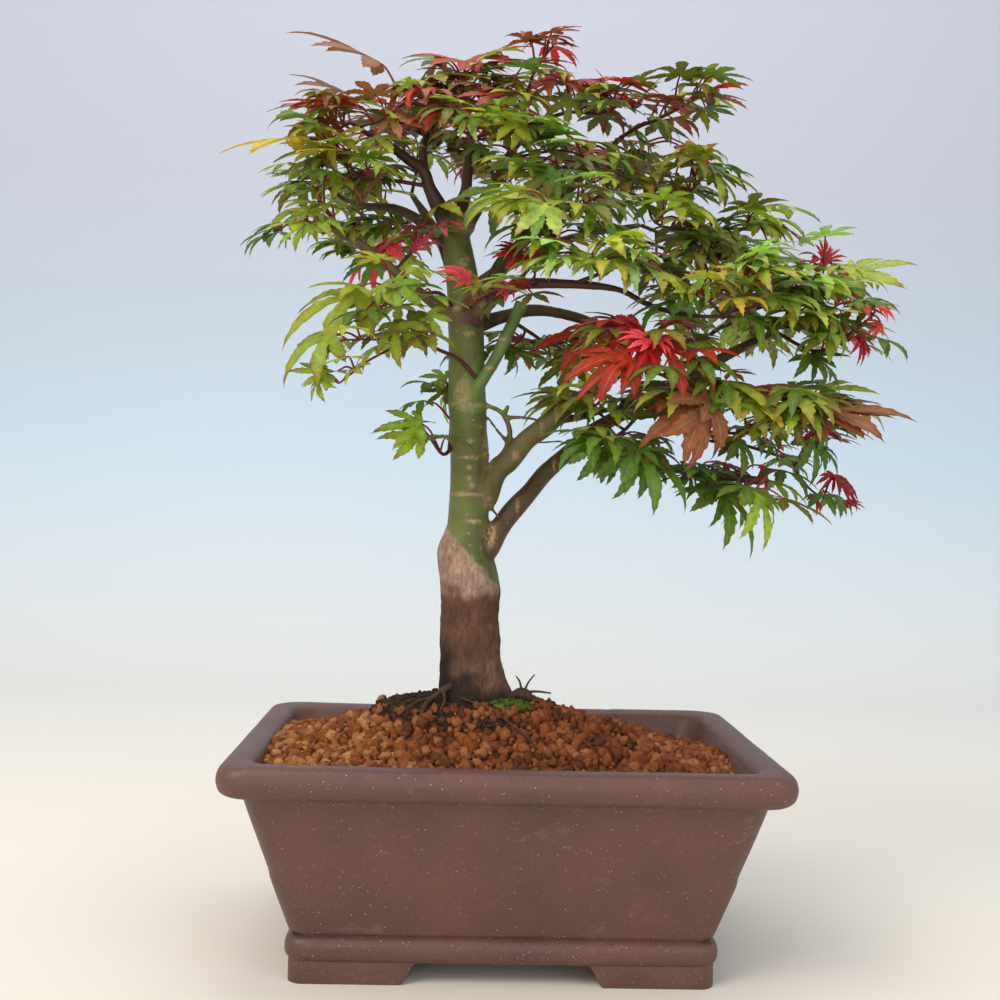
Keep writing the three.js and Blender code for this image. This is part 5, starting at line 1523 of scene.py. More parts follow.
@dataclass
class Roots:
    """The two roots that show at the trunk's foot, with their rootlets."""

    seed: int = 5

    def piece(self, name: str, node: str, runs: list[tuple[Route, list[float]]]) -> None:
        """One root: knobbly tubes joined into a piece.

        Args:
            name: the piece's name.
            node: the CAD node it stands for.
            runs: routes with their radii.
        """
        parts = []
        for route, radii in runs:
            rows = run_rows(route, radii, 8)
            knobs = [1 + 0.16 * fractal(row[:3], 4, 2) for row in rows]
            parts.append(tube(rows[:, :3], rows[:, 3] * knobs, 12))
        vertices, faces = join_parts(parts)
        root = mesh_object(name, place(vertices), faces)
        store(root.data, "tint", "FLOAT_COLOR", np.tile(linear("4e3324"), (len(vertices), 1)))
        store(root.data, "old", "FLOAT", np.full(len(vertices), 0.7))
        store(root.data, "scar", "FLOAT", np.zeros(len(vertices)))
        dress(root, Bark("maple_root_bark_grown").material())
        hand_over(root, node)

    def build(self) -> None:
        """Makes both roots."""
        self.piece("root_left_bark", "root_left", [
            ([(-26, -12, 126), (-33, -16, 122), (-38, -21, 118), (-40, -26, 112), (-40, -27, 104)],
             [1.9, 1.4, 1.2, 1.0, 0.7]),
            ([(-34, -17, 121), (-42, -19, 119), (-50, -22, 113)], [0.9, 0.7, 0.5]),
            ([(-30, -14, 124), (-29, -21, 120), (-32, -27, 114)], [0.8, 0.6, 0.5]),
            ([(-26, -13, 122), (-14, -22, 119), (-2, -28, 114), (10, -37, 106), (14, -40, 102)],
             [0.55, 0.6, 0.6, 0.55, 0.4]),
        ])
        self.piece("root_right_bark", "root_right", [
            ([(1, -8, 120), (7, -10, 122.5), (11, -11, 121.5), (13, -11, 118)], [1.6, 2.8, 2.4, 1.0]),
            ([(9, -10, 123), (15, -12, 124), (22, -13, 123.5)], [0.8, 0.6, 0.4]),
            ([(8, -10, 123), (7, -10, 128), (5, -10, 131)], [0.7, 0.5, 0.3]),
            ([(9, -10, 123), (11, -11, 128), (14, -11, 132)], [0.6, 0.45, 0.3]),
        ])


# ---- Leaves -----------------------------------------------------------------------------------------


class Habit(Enum):
    """How a leaf holds itself."""

    SPREAD = "spread"
    DROOPING = "drooping"
    YOUNG = "young"


@dataclass(frozen=True)
class LeafForm:
    """One maple leaf a unit long from its stalk to the middle lobe's tip, along +Y with its face up.

    It is a thin closed blade: two skins that share their rim.
    """

    habit: Habit
    seed: int
    rows: int = 10
    half_thickness: float = 0.007
    notch: float = 0.23  # how far out the gaps between the lobes reach in

    def lobes(self, rng: random.Random) -> list[tuple[float, float, float]]:
        """Angle, length and half width of each lobe, from left to right."""
        spread = 0.58 if self.habit is Habit.YOUNG else 1.0
        slim = 0.62 if self.habit is Habit.YOUNG else 1.0
        plan = [(-88, 0.66), (-44, 0.9), (0, 1.0), (44, 0.9), (88, 0.66)]
        if rng.random() < 0.45:
            plan = [(-124, 0.36), *plan, (124, 0.36)]
        return [
            (math.radians(angle * spread + rng.uniform(-5, 5)), length * rng.uniform(0.9, 1.06),
             slim * rng.uniform(0.115, 0.142) * (0.55 + 0.45 * length))
            for angle, length in plan
        ]

    def build(self, material: Material) -> Object:
        """Grows the leaf.

        Args:
            material: the blade's finish.

        Returns:
            The leaf as an object that isn't linked to the scene.
        """
        rng = random.Random(self.seed)
        lobes = self.lobes(rng)
        base = {Habit.SPREAD: 0.22, Habit.DROOPING: 0.75, Habit.YOUNG: 0.3}[self.habit]
        hang = {Habit.SPREAD: 0.6, Habit.DROOPING: 1.1, Habit.YOUNG: 0.9}[self.habit]
        fold = {Habit.SPREAD: 0.18, Habit.DROOPING: 0.3, Habit.YOUNG: 0.8}[self.habit]
        bends = [(base * rng.uniform(0.6, 1.4) + 0.25 * abs(angle), hang * rng.uniform(0.4, 1.5),
                  rng.uniform(-0.25, 0.25)) for angle, _, _ in lobes]
        middle_bend = (base * 0.9, hang * 0.6, 0.0)
        points: list[Point] = []
        rim: list[bool] = []

        def add(ray: float, along: float, across: float, bend: Point, edge: bool) -> int:
            """Adds one point of the blade and says its number."""
            droop, curl, sway = bend
            steps = 8
            out = drop = 0.0
            for step in range(steps):
                s = along * (step + 0.5) / steps
                pitch = droop * s + curl * max(0.0, s - 0.5) ** 2 * 2.4
                out += math.cos(pitch) * along / steps
                drop += math.sin(pitch) * along / steps
            side = across + sway * max(0.0, along - 0.3) ** 2
            lift = fold * abs(across) - 0.35 * across * across
            points.append((math.sin(ray) * out + math.cos(ray) * side,
                           math.cos(ray) * out - math.sin(ray) * side, lift - drop))
            rim.append(edge)
            return len(points) - 1

        origin = add(0, 0, 0, middle_bend, True)
        rays = [lobes[0][0] - 0.55]
        rays += [(a[0] + b[0]) / 2 for a, b in zip(lobes, lobes[1:])]
        rays.append(lobes[-1][0] + 0.55)
        shared = []
        for number, ray in enumerate(rays):
            outer = number in (0, len(rays) - 1)
            reach = 0.13 if outer else self.notch * rng.uniform(0.88, 1.1)
            inner = add(ray, reach * 0.5, 0.0, middle_bend, outer)
            shared.append((reach, inner, add(ray, reach, 0.0, middle_bend, True)))
        faces: list[tuple[int, ...]] = []
        uvs: list[tuple[tuple[float, float], ...]] = []
        for number, ((angle, length, width), bend) in enumerate(zip(lobes, bends)):
            left, right = shared[number], shared[number + 1]
            start = max(left[0], right[0]) * 0.9
            middles = [add(angle, start * 0.5, 0, middle_bend, False), add(angle, start, 0, bend, False)]
            rows = [(left[1], middles[0], right[1], start * 0.5), (left[2], middles[1], right[2], start)]
            gap = max(0.06, min(left[0], right[0]) * 0.36)
            for row in range(1, self.rows + 1):
                t = row / (self.rows + 1)
                half = float(np.interp(t, [0, 0.14, 0.34, 0.55, 0.75, 0.9, 1],
                                       [gap, width * 0.72, width, width * 0.9, width * 0.5, width * 0.15, 0]))
                tooth = 1.13 if row % 2 else 0.88
                along = start + (length - start) * t
                ahead = 0.02 if row % 2 else -0.005
                edge_left = add(angle, along + ahead, -half * tooth * rng.uniform(0.93, 1.07), bend, True)
                mid = add(angle, along, 0, bend, False)
                edge_right = add(angle, along + ahead, half * tooth * rng.uniform(0.93, 1.07), bend, True)
                rows.append((edge_left, mid, edge_right, along))
            tip = add(angle, length, 0, bend, True)
            first = rows[0]
            faces += [(origin, first[1], first[0]), (origin, first[2], first[1])]
            y = first[3] / length
            uvs += [((0.5, 0), (0.5, y), (0, y)), ((0.5, 0), (1, y), (0.5, y))]
            for a, b in zip(rows, rows[1:]):
                ya, yb = a[3] / length, b[3] / length
                faces += [(a[0], a[1], b[1], b[0]), (a[1], a[2], b[2], b[1])]
                uvs += [((0, ya), (0.5, ya), (0.5, yb), (0, yb)), ((0.5, ya), (1, ya), (1, yb), (0.5, yb))]
            last = rows[-1]
            y = last[3] / length
            faces += [(last[0], last[1], tip), (last[1], last[2], tip)]
            uvs += [((0, y), (0.5, y), (0.5, 1)), ((0.5, y), (1, y), (0.5, 1))]
        return self.closed(points, rim, faces, uvs, material)

    def closed(
        self, points: list[Point], rim: list[bool], faces: list[tuple[int, ...]],
        uvs: list[tuple[tuple[float, float], ...]], material: Material,
    ) -> Object:
        """Gives the sheet its thickness.

        Args:
            points: the sheet's points.
            rim: which of them lie on its edge.
            faces: the sheet's faces, seen from above.
            uvs: place in the lobe at each corner of each face.
            material: the blade's finish.

        Returns:
            The leaf.
        """
        count = len(points)
        under = list(range(count))
        vertices = [(x, y, z + (0 if edge else self.half_thickness)) for (x, y, z), edge in zip(points, rim)]
        for index, ((x, y, z), edge) in enumerate(zip(points, rim)):
            if not edge:
                under[index] = len(vertices)
                vertices.append((x, y, z - self.half_thickness))
        top = len(faces)
        faces = faces + [tuple(under[i] for i in reversed(face)) for face in faces]
        uvs = uvs + [tuple(reversed(corner)) for corner in uvs]
        name = f"leaf_{self.seed:02d}"
        mesh = bpy.data.meshes.new(name)
        mesh.from_pydata(vertices, [], faces)
        layer = mesh.uv_layers.new(name="lobe")
        layer.uv.foreach_set("vector", [v for corners in uvs for uv in corners for v in uv])
        below = mesh.attributes.new("under", "FLOAT", "FACE")
        below.data.foreach_set("value", [0.0] * top + [1.0] * top)
        sharp = mesh.attributes.new("sharp_edge", "BOOLEAN", "EDGE")
        edge_of = rim + [False] * (len(vertices) - count)
        ends = (edge.vertices for edge in mesh.edges)
        sharp.data.foreach_set("value", [edge_of[a] and edge_of[b] for a, b in ends])
        mesh.materials.append(material)
        mesh.shade_smooth()
        return bpy.data.objects.new(name, mesh)


HUES = {
    "g": ("76983a", "628030"), "o": ("888c34", "8c6a38"), "l": ("b2c648", "b8a24a"),
    "p": ("bcd680", "ccc98c"), "y": ("cfca4c", "c0903a"), "b": ("a86e44", "a64e3a"),
    "r": ("c04226", "a22e20"), "c": ("c81e38", "a01630"), "k": ("e2566c", "f08090"),
}


@dataclass
class Spray:
    """One leafy shoot: its twig, the twig's forks, the leaves whose places are known, and how many more.

    A fork is how far along the twig it starts, then its points. A leaf is the foot of its blade and the
    tip of its middle lobe.
    """

    name: str
    size: float
    fill: int
    hues: str
    stem: Route
    forks: list[tuple[float, Route]] = field(default_factory=list)
    leaves: list[tuple[Point, Point]] = field(default_factory=list)


SPRAYS = [
    Spray("top_left_high", size=19, fill=4, hues="blb",
          stem=[(-44, -3, 394), (-41, -6, 403), (-51, -10, 410), (-61, -12, 414)],
          forks=[(0.35, [(-37, 2, 412), (-32, 8, 419)])],
          leaves=[((-70, -14, 424), (-110, -20, 432)), ((-42, 0, 423), (-14, 2, 421)),
                  ((-33, 8, 426), (-54, 12, 418))]),
    Spray("top_left_outer", size=19, fill=4, hues="rblb",
          stem=[(-74, -16, 389), (-81, -20, 392), (-87, -24, 388), (-92, -26, 394)],
          forks=[(0.2, [(-67, -22, 393), (-62, -28, 395)])],
          leaves=[((-94, -28, 399), (-111, -34, 394)), ((-87, -14, 409), (-111, -12, 415)),
                  ((-61, -32, 394), (-82, -38, 399)), ((-61, -34, 391), (-45, -40, 382))]),
    Spray("left_far", size=21, fill=4, hues="yyl",
          stem=[(-43, -5, 367), (-60, -10, 368), (-76, -18, 367), (-83, -26, 375), (-89, -30, 380),
                (-99, -34, 380)],
          leaves=[((-103, -36, 380), (-137, -42, 365)), ((-84, -36, 382), (-90, -44, 364)),
                  ((-69, -30, 383), (-48, -36, 375))]),
    Spray("left_upper", size=19, fill=4, hues="oggo",
          stem=[(-87, 24, 366), (-94, 20, 370), (-101, 14, 373)],
          forks=[(0.4, [(-83, 4, 369), (-76, -8, 371)])],
          leaves=[((-94, 14, 377), (-121, 12, 372)), ((-87, 0, 369), (-97, -6, 360)),
                  ((-100, 16, 369), (-116, 14, 367)), ((-70, -10, 372), (-79, -18, 354))]),
    Spray("left_tip", size=17, fill=4, hues="lllo",
          stem=[(-82, -15, 339), (-89, -20, 348), (-95, -24, 354)],
          forks=[(0.4, [(-95, -24, 344), (-100, -28, 341)]), (0.1, [(-75, -18, 347), (-74, -22, 358)])],
          leaves=[((-100, -28, 341), (-112, -32, 330)), ((-94, -26, 348), (-109, -30, 345)),
                  ((-93, -26, 344), (-97, -32, 333)), ((-79, -20, 342), (-85, -26, 332))]),
    Spray("left_red", size=18, fill=4, hues="kgkl",
          stem=[(-59, -9, 324), (-51, -4, 336), (-44, 0, 349)],
          forks=[(0.2, [(-68, 4, 330), (-74, 12, 333)])],
          leaves=[((-65, 14, 343), (-86, 12, 319)), ((-69, -14, 327), (-83, -20, 318)),
                  ((-51, -8, 335), (-37, -12, 342)), ((-55, -8, 328), (-44, -14, 319))]),
    Spray("left_hanging", size=20, fill=3, hues="llll",
          stem=[(-31, -8, 309), (-37, -14, 314), (-47, -20, 312), (-55, -26, 309), (-66, -32, 302)],
          forks=[(0.75, [(-58, -38, 310), (-57, -42, 313)])],
          leaves=[((-73, -36, 310), (-109, -42, 287)), ((-57, -44, 313), (-46, -50, 301)),
                  ((-63, -44, 312), (-59, -50, 302)), ((-67, -30, 306), (-82, -34, 299))]),
    Spray("crossing", size=20, fill=2, hues="lllllllo",
          stem=[(-17, -9, 273), (-26, -14, 282), (-36, -20, 286), (-43, -26, 288), (-54, -32, 288),
                (-66, -36, 288), (-78, -40, 287)],
          forks=[(0.66, [(-67, -36, 279), (-81, -40, 267)])],
          leaves=[((-55, -40, 295), (-57, -46, 276)), ((-86, -42, 289), (-109, -48, 269)),
                  ((-42, -34, 301), (-37, -38, 289)), ((-86, -40, 282), (-93, -44, 275)),
                  ((-87, -42, 271), (-103, -46, 268)), ((-90, -42, 268), (-90, -48, 259)),
                  ((-75, -40, 274), (-73, -46, 271)), ((-51, -38, 297), (-42, -44, 282))]),
    Spray("trunk_low_left", size=17, fill=1, hues="lllol",
          stem=[(-28, -2, 242), (-33, -8, 237), (-39, -12, 244), (-43, -14, 249)],
          forks=[(0.2, [(-30, 12, 255), (-32, 16, 268)])],
          leaves=[((-44, -16, 251), (-65, -22, 244)), ((-44, -12, 245), (-64, -16, 241)),
                  ((-33, 16, 276), (-47, 18, 275)), ((-32, 14, 270), (-46, 16, 266)),
                  ((-32, 16, 269), (-35, 18, 252))]),
    Spray("top_centre", size=20, fill=6, hues="rrbb",
          stem=[(-25, 5, 401), (-27, 2, 408), (-28, 0, 414), (-28, 0, 421)],
          forks=[(0.3, [(-21, 10, 411), (-18, 14, 420)])],
          leaves=[((-28, 0, 430), (-53, -4, 428)), ((-27, 2, 431), (5, 4, 437)),
                  ((-19, 14, 433), (-8, 18, 429)), ((-40, 16, 436), (-54, 20, 424))]),
    Spray("top_front", size=19, fill=6, hues="plllo",
          stem=[(-24, 2, 388), (-22, -18, 389), (-21, -34, 392)],
          forks=[(0.4, [(-10, -30, 384), (-3, -42, 386)])],
          leaves=[((-25, -38, 392), (-23, -44, 381)), ((-34, -30, 394), (-42, -36, 388)),
                  ((-4, -44, 388), (-22, -50, 380)), ((0, -46, 387), (-4, -52, 375)),
                  ((-44, -26, 393), (-52, -32, 386))]),
    Spray("top_red", size=19, fill=4, hues="ccrblk",
          stem=[(1, 8, 395), (2, 4, 409), (5, 0, 422), (9, -2, 430), (15, -4, 438)],
          forks=[(0.3, [(-3, -12, 406), (-11, -22, 406)])],
          leaves=[((15, -4, 439), (27, -6, 437)), ((14, -4, 440), (11, -8, 438)),
                  ((-11, -26, 406), (-32, -32, 400)), ((0, 2, 417), (-8, -4, 419)),
                  ((1, -18, 408), (9, -24, 398)), ((5, 4, 419), (27, 8, 430))]),
    Spray("top_right_high", size=20, fill=6, hues="krlbro",
          stem=[(13, 5, 405), (25, 2, 408), (39, 0, 407), (50, -4, 411)],
          forks=[(0.25, [(20, -6, 409), (24, -10, 416)])],
          leaves=[((24, -10, 417), (22, -12, 425)), ((38, -6, 415), (57, -12, 412)),
                  ((58, -4, 414), (71, -8, 424)), ((44, -8, 413), (37, -10, 425)),
                  ((34, 0, 418), (48, 4, 426)), ((23, -16, 408), (12, -22, 397))]),
    Spray("top_right_red", size=20, fill=5, hues="ccllko",
          stem=[(51, 12, 399), (60, 4, 403), (68, -2, 405), (81, -8, 411), (86, -10, 414)],
          forks=[(0.2, [(62, 22, 402), (71, 30, 401)])],
          leaves=[((88, -10, 416), (111, -12, 420)), ((88, -10, 416), (100, -12, 411)),
                  ((66, -4, 405), (80, -8, 394)), ((60, 20, 406), (72, 22, 393)),
                  ((71, -2, 413), (85, -2, 413)), ((52, 8, 397), (63, 4, 390))]),
    Spray("right_crown", size=22, fill=8, hues="lllyooog",
          stem=[(29, 16, 376), (51, 4, 370), (67, -6, 365), (82, -14, 367), (88, -18, 374)],
          forks=[(0.45, [(65, -20, 350), (81, -24, 345)])],
          leaves=[((90, -18, 377), (109, -24, 358)), ((90, -16, 378), (114, -16, 366)),
                  ((78, -24, 361), (98, -32, 343)), ((79, -22, 362), (64, -26, 359)),
                  ((52, -4, 380), (59, -8, 369)), ((60, 0, 385), (80, -4, 372)),
                  ((81, -24, 350), (91, -30, 336)), ((63, -14, 360), (48, -20, 355))]),
    Spray("centre_front", size=22, fill=6, hues="ppyglo",
          stem=[(0, -14, 320), (12, -28, 334), (22, -42, 347), (35, -52, 354)],
          forks=[(0.55, [(13, -52, 341), (13, -62, 346)])],
          leaves=[((11, -64, 346), (-16, -72, 335)), ((11, -64, 346), (5, -72, 331)),
                  ((26, -56, 353), (32, -62, 352)), ((15, -60, 347), (16, -64, 357)),
                  ((30, -54, 349), (42, -62, 334)), ((37, -54, 352), (47, -60, 343))]),
    Spray("centre_high", size=20, fill=6, hues="ogglog",
          stem=[(-8, 9, 385), (0, -15, 380), (10, -40, 369), (15, -54, 361)],
          forks=[(0.3, [(18, -26, 381), (31, -40, 374)])],
          leaves=[((10, -56, 361), (-10, -62, 356)), ((14, -56, 363), (2, -62, 353)),
                  ((-10, -44, 357), (-27, -52, 340)), ((41, -46, 364), (30, -50, 362)),
                  ((28, -44, 373), (39, -50, 366)), ((-19, -20, 383), (-30, -24, 376))]),
    Spray("trunk_front", size=15, fill=2, hues="ccckkro",
          stem=[(11, -18, 320), (1, -26, 315), (-6, -30, 311)],
          forks=[(0.3, [(8, -26, 323), (3, -30, 328)])],
          leaves=[((1, -30, 331), (-11, -36, 328)), ((1, -30, 331), (-12, -32, 334)),
                  ((5, -26, 333), (21, -30, 336)), ((-22, -34, 318), (-39, -38, 317)),
                  ((-4, -36, 316), (-9, -42, 308)), ((-4, -36, 317), (5, -42, 312)),
                  ((-18, -34, 317), (-26, -38, 312))]),
    Spray("centre_right", size=20, fill=9, hues="lppplpll",
          stem=[(27, -24, 319), (37, -40, 321), (48, -54, 324), (57, -62, 323)],
          forks=[(0.4, [(32, -54, 322), (29, -62, 323)])],
          leaves=[((46, -64, 325), (35, -72, 314)), ((46, -64, 325), (46, -72, 309)),
                  ((47, -64, 325), (60, -72, 313)), ((28, -66, 323), (23, -74, 314)),
                  ((28, -66, 323), (17, -70, 320)), ((29, -64, 324), (34, -70, 316)),
                  ((62, -60, 319), (71, -68, 308)), ((54, -50, 335), (37, -54, 337))]),
    Spray("centre_low", size=20, fill=7, hues="gggor",
          stem=[(-4, 10, 307), (9, 14, 300), (16, 16, 296), (25, 18, 293), (36, 20, 284)],
          forks=[(0.2, [(5, 20, 298), (1, 24, 295)])],
          leaves=[((0, 26, 293), (18, 28, 285)), ((0, 26, 292), (5, 28, 279)),
                  ((-2, 24, 292), (-14, 22, 291)), ((30, 18, 287), (14, 16, 273)),
                  ((41, -10, 299), (11, -16, 287))]),
    Spray("right_upper", size=22, fill=8, hues="llogolpl",
          stem=[(42, 66, 367), (66, 34, 353), (88, 10, 340), (100, -4, 346), (115, -14, 353)],
          forks=[(0.55, [(91, -14, 333), (96, -30, 332)])],
          leaves=[((115, -16, 354), (133, -20, 343)), ((115, -16, 354), (129, -22, 344)),
                  ((101, -34, 335), (111, -42, 323)), ((101, -34, 335), (89, -40, 330)),
                  ((101, -32, 337), (103, -30, 349)), ((117, -12, 351), (114, -10, 362)),
                  ((138, -8, 347), (147, -10, 345)), ((123, -10, 341), (129, -16, 328))]),
    Spray("right_red", size=21, fill=6, hues="lplcccll",
          stem=[(105, 42, 306), (123, 30, 317), (141, 20, 322), (150, 10, 326), (162, 2, 331)],
          forks=[(0.65, [(151, 2, 330), (153, 0, 335)])],
          leaves=[((166, 2, 333), (200, 0, 335)), ((166, 2, 332), (185, -2, 330)),
                  ((167, 4, 334), (168, 10, 340)), ((150, -2, 339), (141, -6, 342)),
                  ((152, 0, 340), (154, 2, 346)), ((153, 0, 338), (161, 0, 343)),
                  ((142, 6, 339), (125, 4, 343)), ((138, 0, 337), (145, -6, 333))]),
    Spray("right_far", size=17, fill=4, hues="kkccoggg",
          stem=[(132, 10, 304), (142, 0, 296), (150, -8, 293), (162, -14, 301), (169, -18, 307),
                (173, -20, 312)],
          forks=[(0.6, [(157, -24, 296), (161, -30, 297)])],
          leaves=[((173, -20, 314), (180, -24, 306)), ((175, -20, 306), (167, -24, 298)),
                  ((162, -30, 298), (161, -34, 284)), ((162, -30, 298), (165, -32, 290)),
                  ((169, -16, 313), (158, -18, 308)), ((145, -12, 290), (159, -18, 274)),
                  ((145, -12, 290), (161, -16, 287)), ((145, -12, 289), (138, -18, 279))]),
    Spray("right_green", size=22, fill=8, hues="llllgg",
          stem=[(114, 10, 295), (125, -6, 300), (134, -16, 314), (141, -22, 319)],
          forks=[(0.45, [(136, -20, 303), (147, -30, 306)])],
          leaves=[((128, -20, 325), (163, -28, 315)), ((142, -18, 324), (166, -24, 321)),
                  ((128, -30, 314), (114, -36, 312)), ((147, -32, 308), (155, -38, 289)),
                  ((143, -34, 304), (152, -40, 296)), ((131, -30, 315), (145, -36, 309))]),
    Spray("long_right", size=20, fill=8, hues="pylgglg",
          stem=[(94, -47, 302), (102, -50, 311), (100, -52, 318)],
          forks=[(0.2, [(110, -46, 308), (117, -42, 311)]), (0.1, [(84, -52, 310), (81, -56, 312)])],
          leaves=[((100, -54, 321), (97, -60, 309)), ((100, -54, 321), (87, -60, 316)),
                  ((82, -58, 317), (84, -64, 305)), ((106, -48, 303), (121, -56, 289)),
                  ((106, -48, 303), (109, -54, 300)), ((75, -60, 312), (61, -66, 314)),
                  ((76, -56, 310), (69, -60, 300))]),
    Spray("crimson", size=19, fill=4, hues="rrrkkkcrcr",
          stem=[(62, -34, 287), (59, -46, 288), (55, -58, 289)],
          forks=[(0.4, [(68, -52, 286), (70, -60, 280)])],
          leaves=[((48, -66, 281), (20, -74, 269)), ((48, -66, 281), (26, -74, 258)),
                  ((49, -66, 280), (47, -74, 268)), ((57, -70, 287), (43, -76, 285)),
                  ((59, -70, 288), (69, -76, 285)), ((59, -70, 287), (61, -78, 281)),
                  ((54, -56, 296), (38, -62, 284)), ((63, -60, 287), (88, -70, 268)),
                  ((56, -66, 284), (53, -74, 275)), ((54, -60, 289), (40, -68, 273))]),
    Spray("low_green", size=22, fill=5, hues="gggggggoogg",
          stem=[(64, 4, 261), (54, -14, 251), (46, -28, 245), (51, -40, 241)],
          forks=[(0.4, [(40, -16, 259), (33, -20, 263)])],
          leaves=[((57, -44, 240), (38, -50, 227)), ((57, -44, 240), (51, -52, 217)),
                  ((57, -44, 240), (81, -52, 217)), ((57, -44, 241), (72, -50, 238)),
                  ((46, -30, 245), (27, -36, 235)), ((46, -30, 244), (48, -36, 226)),
                  ((33, -24, 262), (36, -30, 252)), ((33, -24, 263), (22, -30, 256)),
                  ((27, -16, 267), (11, -20, 258)), ((42, -16, 242), (35, -20, 225)),
                  ((67, -30, 232), (61, -36, 219))]),
    Spray("bronze", size=24, fill=5, hues="bbblylybo",
          stem=[(90, 12, 281), (84, -20, 271), (86, -50, 264)],
          forks=[(0.5, [(100, -36, 265), (104, -48, 265)])],
          leaves=[((86, -60, 261), (56, -70, 242)), ((86, -60, 261), (82, -70, 230)),
                  ((86, -60, 262), (59, -66, 271)), ((87, -58, 262), (91, -60, 267)),
                  ((104, -52, 265), (131, -60, 253)), ((104, -52, 265), (122, -60, 253)),
                  ((104, -52, 265), (90, -56, 268)), ((107, 0, 282), (118, -6, 279)),
                  ((79, -20, 260), (51, -26, 249))]),
    Spray("bronze_right", size=23, fill=6, hues="bbbgylgog",
          stem=[(65, 14, 266), (83, 0, 255), (98, -16, 251), (114, -28, 251), (125, -36, 254),
                (135, -42, 259)],
          leaves=[((139, -44, 261), (179, -54, 255)), ((139, -44, 261), (172, -52, 251)),
                  ((139, -44, 261), (130, -48, 257)), ((132, -20, 273), (152, -26, 269)),
                  ((158, -30, 268), (176, -34, 254)), ((147, -20, 273), (171, -24, 269)),
                  ((106, -30, 247), (109, -38, 231)), ((103, -24, 245), (90, -30, 243)),
                  ((132, -40, 265), (135, -44, 251))]),
    Spray("cut_branch", size=23, fill=4, hues="ggglgcg",
          stem=[(80, -8, 233), (91, -14, 229), (99, -20, 226)],
          forks=[(0.5, [(109, -30, 225), (114, -36, 223)])],
          leaves=[((99, -22, 226), (99, -30, 206)), ((99, -22, 226), (121, -30, 197)),
                  ((99, -22, 226), (79, -26, 233)), ((114, -38, 222), (122, -44, 198)),
                  ((108, -34, 224), (116, -38, 216)), ((122, -10, 236), (124, -12, 223)),
                  ((86, -12, 233), (88, -16, 218))]),
    Spray("low_red", size=19, fill=4, hues="ccccgggg",
          stem=[(65, 14, 266), (92, 20, 254), (120, 20, 247), (141, 14, 240), (145, 10, 233),
                (152, 6, 224), (162, 2, 219)],
          forks=[(0.62, [(149, 12, 247), (157, 8, 255)])],
          leaves=[((161, 2, 233), (172, -2, 216)), ((161, 2, 233), (156, -2, 224)),
                  ((165, 2, 219), (168, 0, 218)), ((152, 4, 222), (152, 2, 219)),
                  ((150, 4, 250), (155, -2, 229)), ((157, 6, 255), (155, 2, 241)),
                  ((156, 8, 247), (166, 6, 240)), ((129, 4, 249), (134, 0, 238))]),
    Spray("back_top", size=22, fill=15, hues="",
          stem=[(-55, 66, 380), (-51, 72, 401), (-41, 68, 416)],
          forks=[(0.4, [(-62, 70, 408), (-70, 66, 414)]), (0.6, [(-24, 60, 420), (-9, 54, 423)])]),
    Spray("back_left", size=22, fill=14, hues="",
          stem=[(-47, 50, 366), (-66, 60, 359), (-87, 62, 356)],
          forks=[(0.4, [(-72, 64, 376), (-83, 60, 383)])]),
    Spray("back_centre", size=22, fill=17, hues="",
          stem=[(15, 52, 355), (10, 70, 380), (26, 74, 404)],
          forks=[(0.4, [(-7, 78, 393), (-18, 80, 401)]), (0.5, [(48, 72, 393), (63, 66, 400)])]),
    Spray("back_right", size=23, fill=19, hues="",
          stem=[(71, 72, 369), (105, 74, 357), (136, 66, 346)],
          forks=[(0.2, [(83, 74, 334), (99, 70, 312)]), (0.5, [(114, 64, 328), (135, 58, 306)])]),
]


@dataclass
class Growth:
    """What a shoot's carrier mesh holds: chains of points for stalks, loose points for leaves."""

    points: list[np.ndarray] = field(default_factory=list)
    edges: list[tuple[int, int]] = field(default_factory=list)
    values: list[dict[str, Any]] = field(default_factory=list)

    def chain(self, route: np.ndarray, radii: Sequence[float], tint: str) -> None:
        """Adds a stalk along a route with its radii in millimetres."""
        for number, (point, radius) in enumerate(zip(route, radii)):
            if number:
                self.edges.append((len(self.points) - 1, len(self.points)))
            self.points.append(np.asarray(point, float))
            self.values.append({"radius": radius * MM, "tint": linear(tint)})

    def leaf(self, foot: np.ndarray, turn: Any, size: float, form: int, inner: Any, edge: Any,
             dry: float) -> None:
        """Adds one leaf at its foot; a long one is narrower for its length."""
        across = min(size, 0.36 * size + 15)
        self.points.append(np.asarray(foot, float))
        self.values.append({"is_leaf": 1, "turn": tuple(turn), "size": (across * MM, size * MM, size * MM),
                            "form": form, "tint": inner, "tint_edge": edge, "dry": dry})


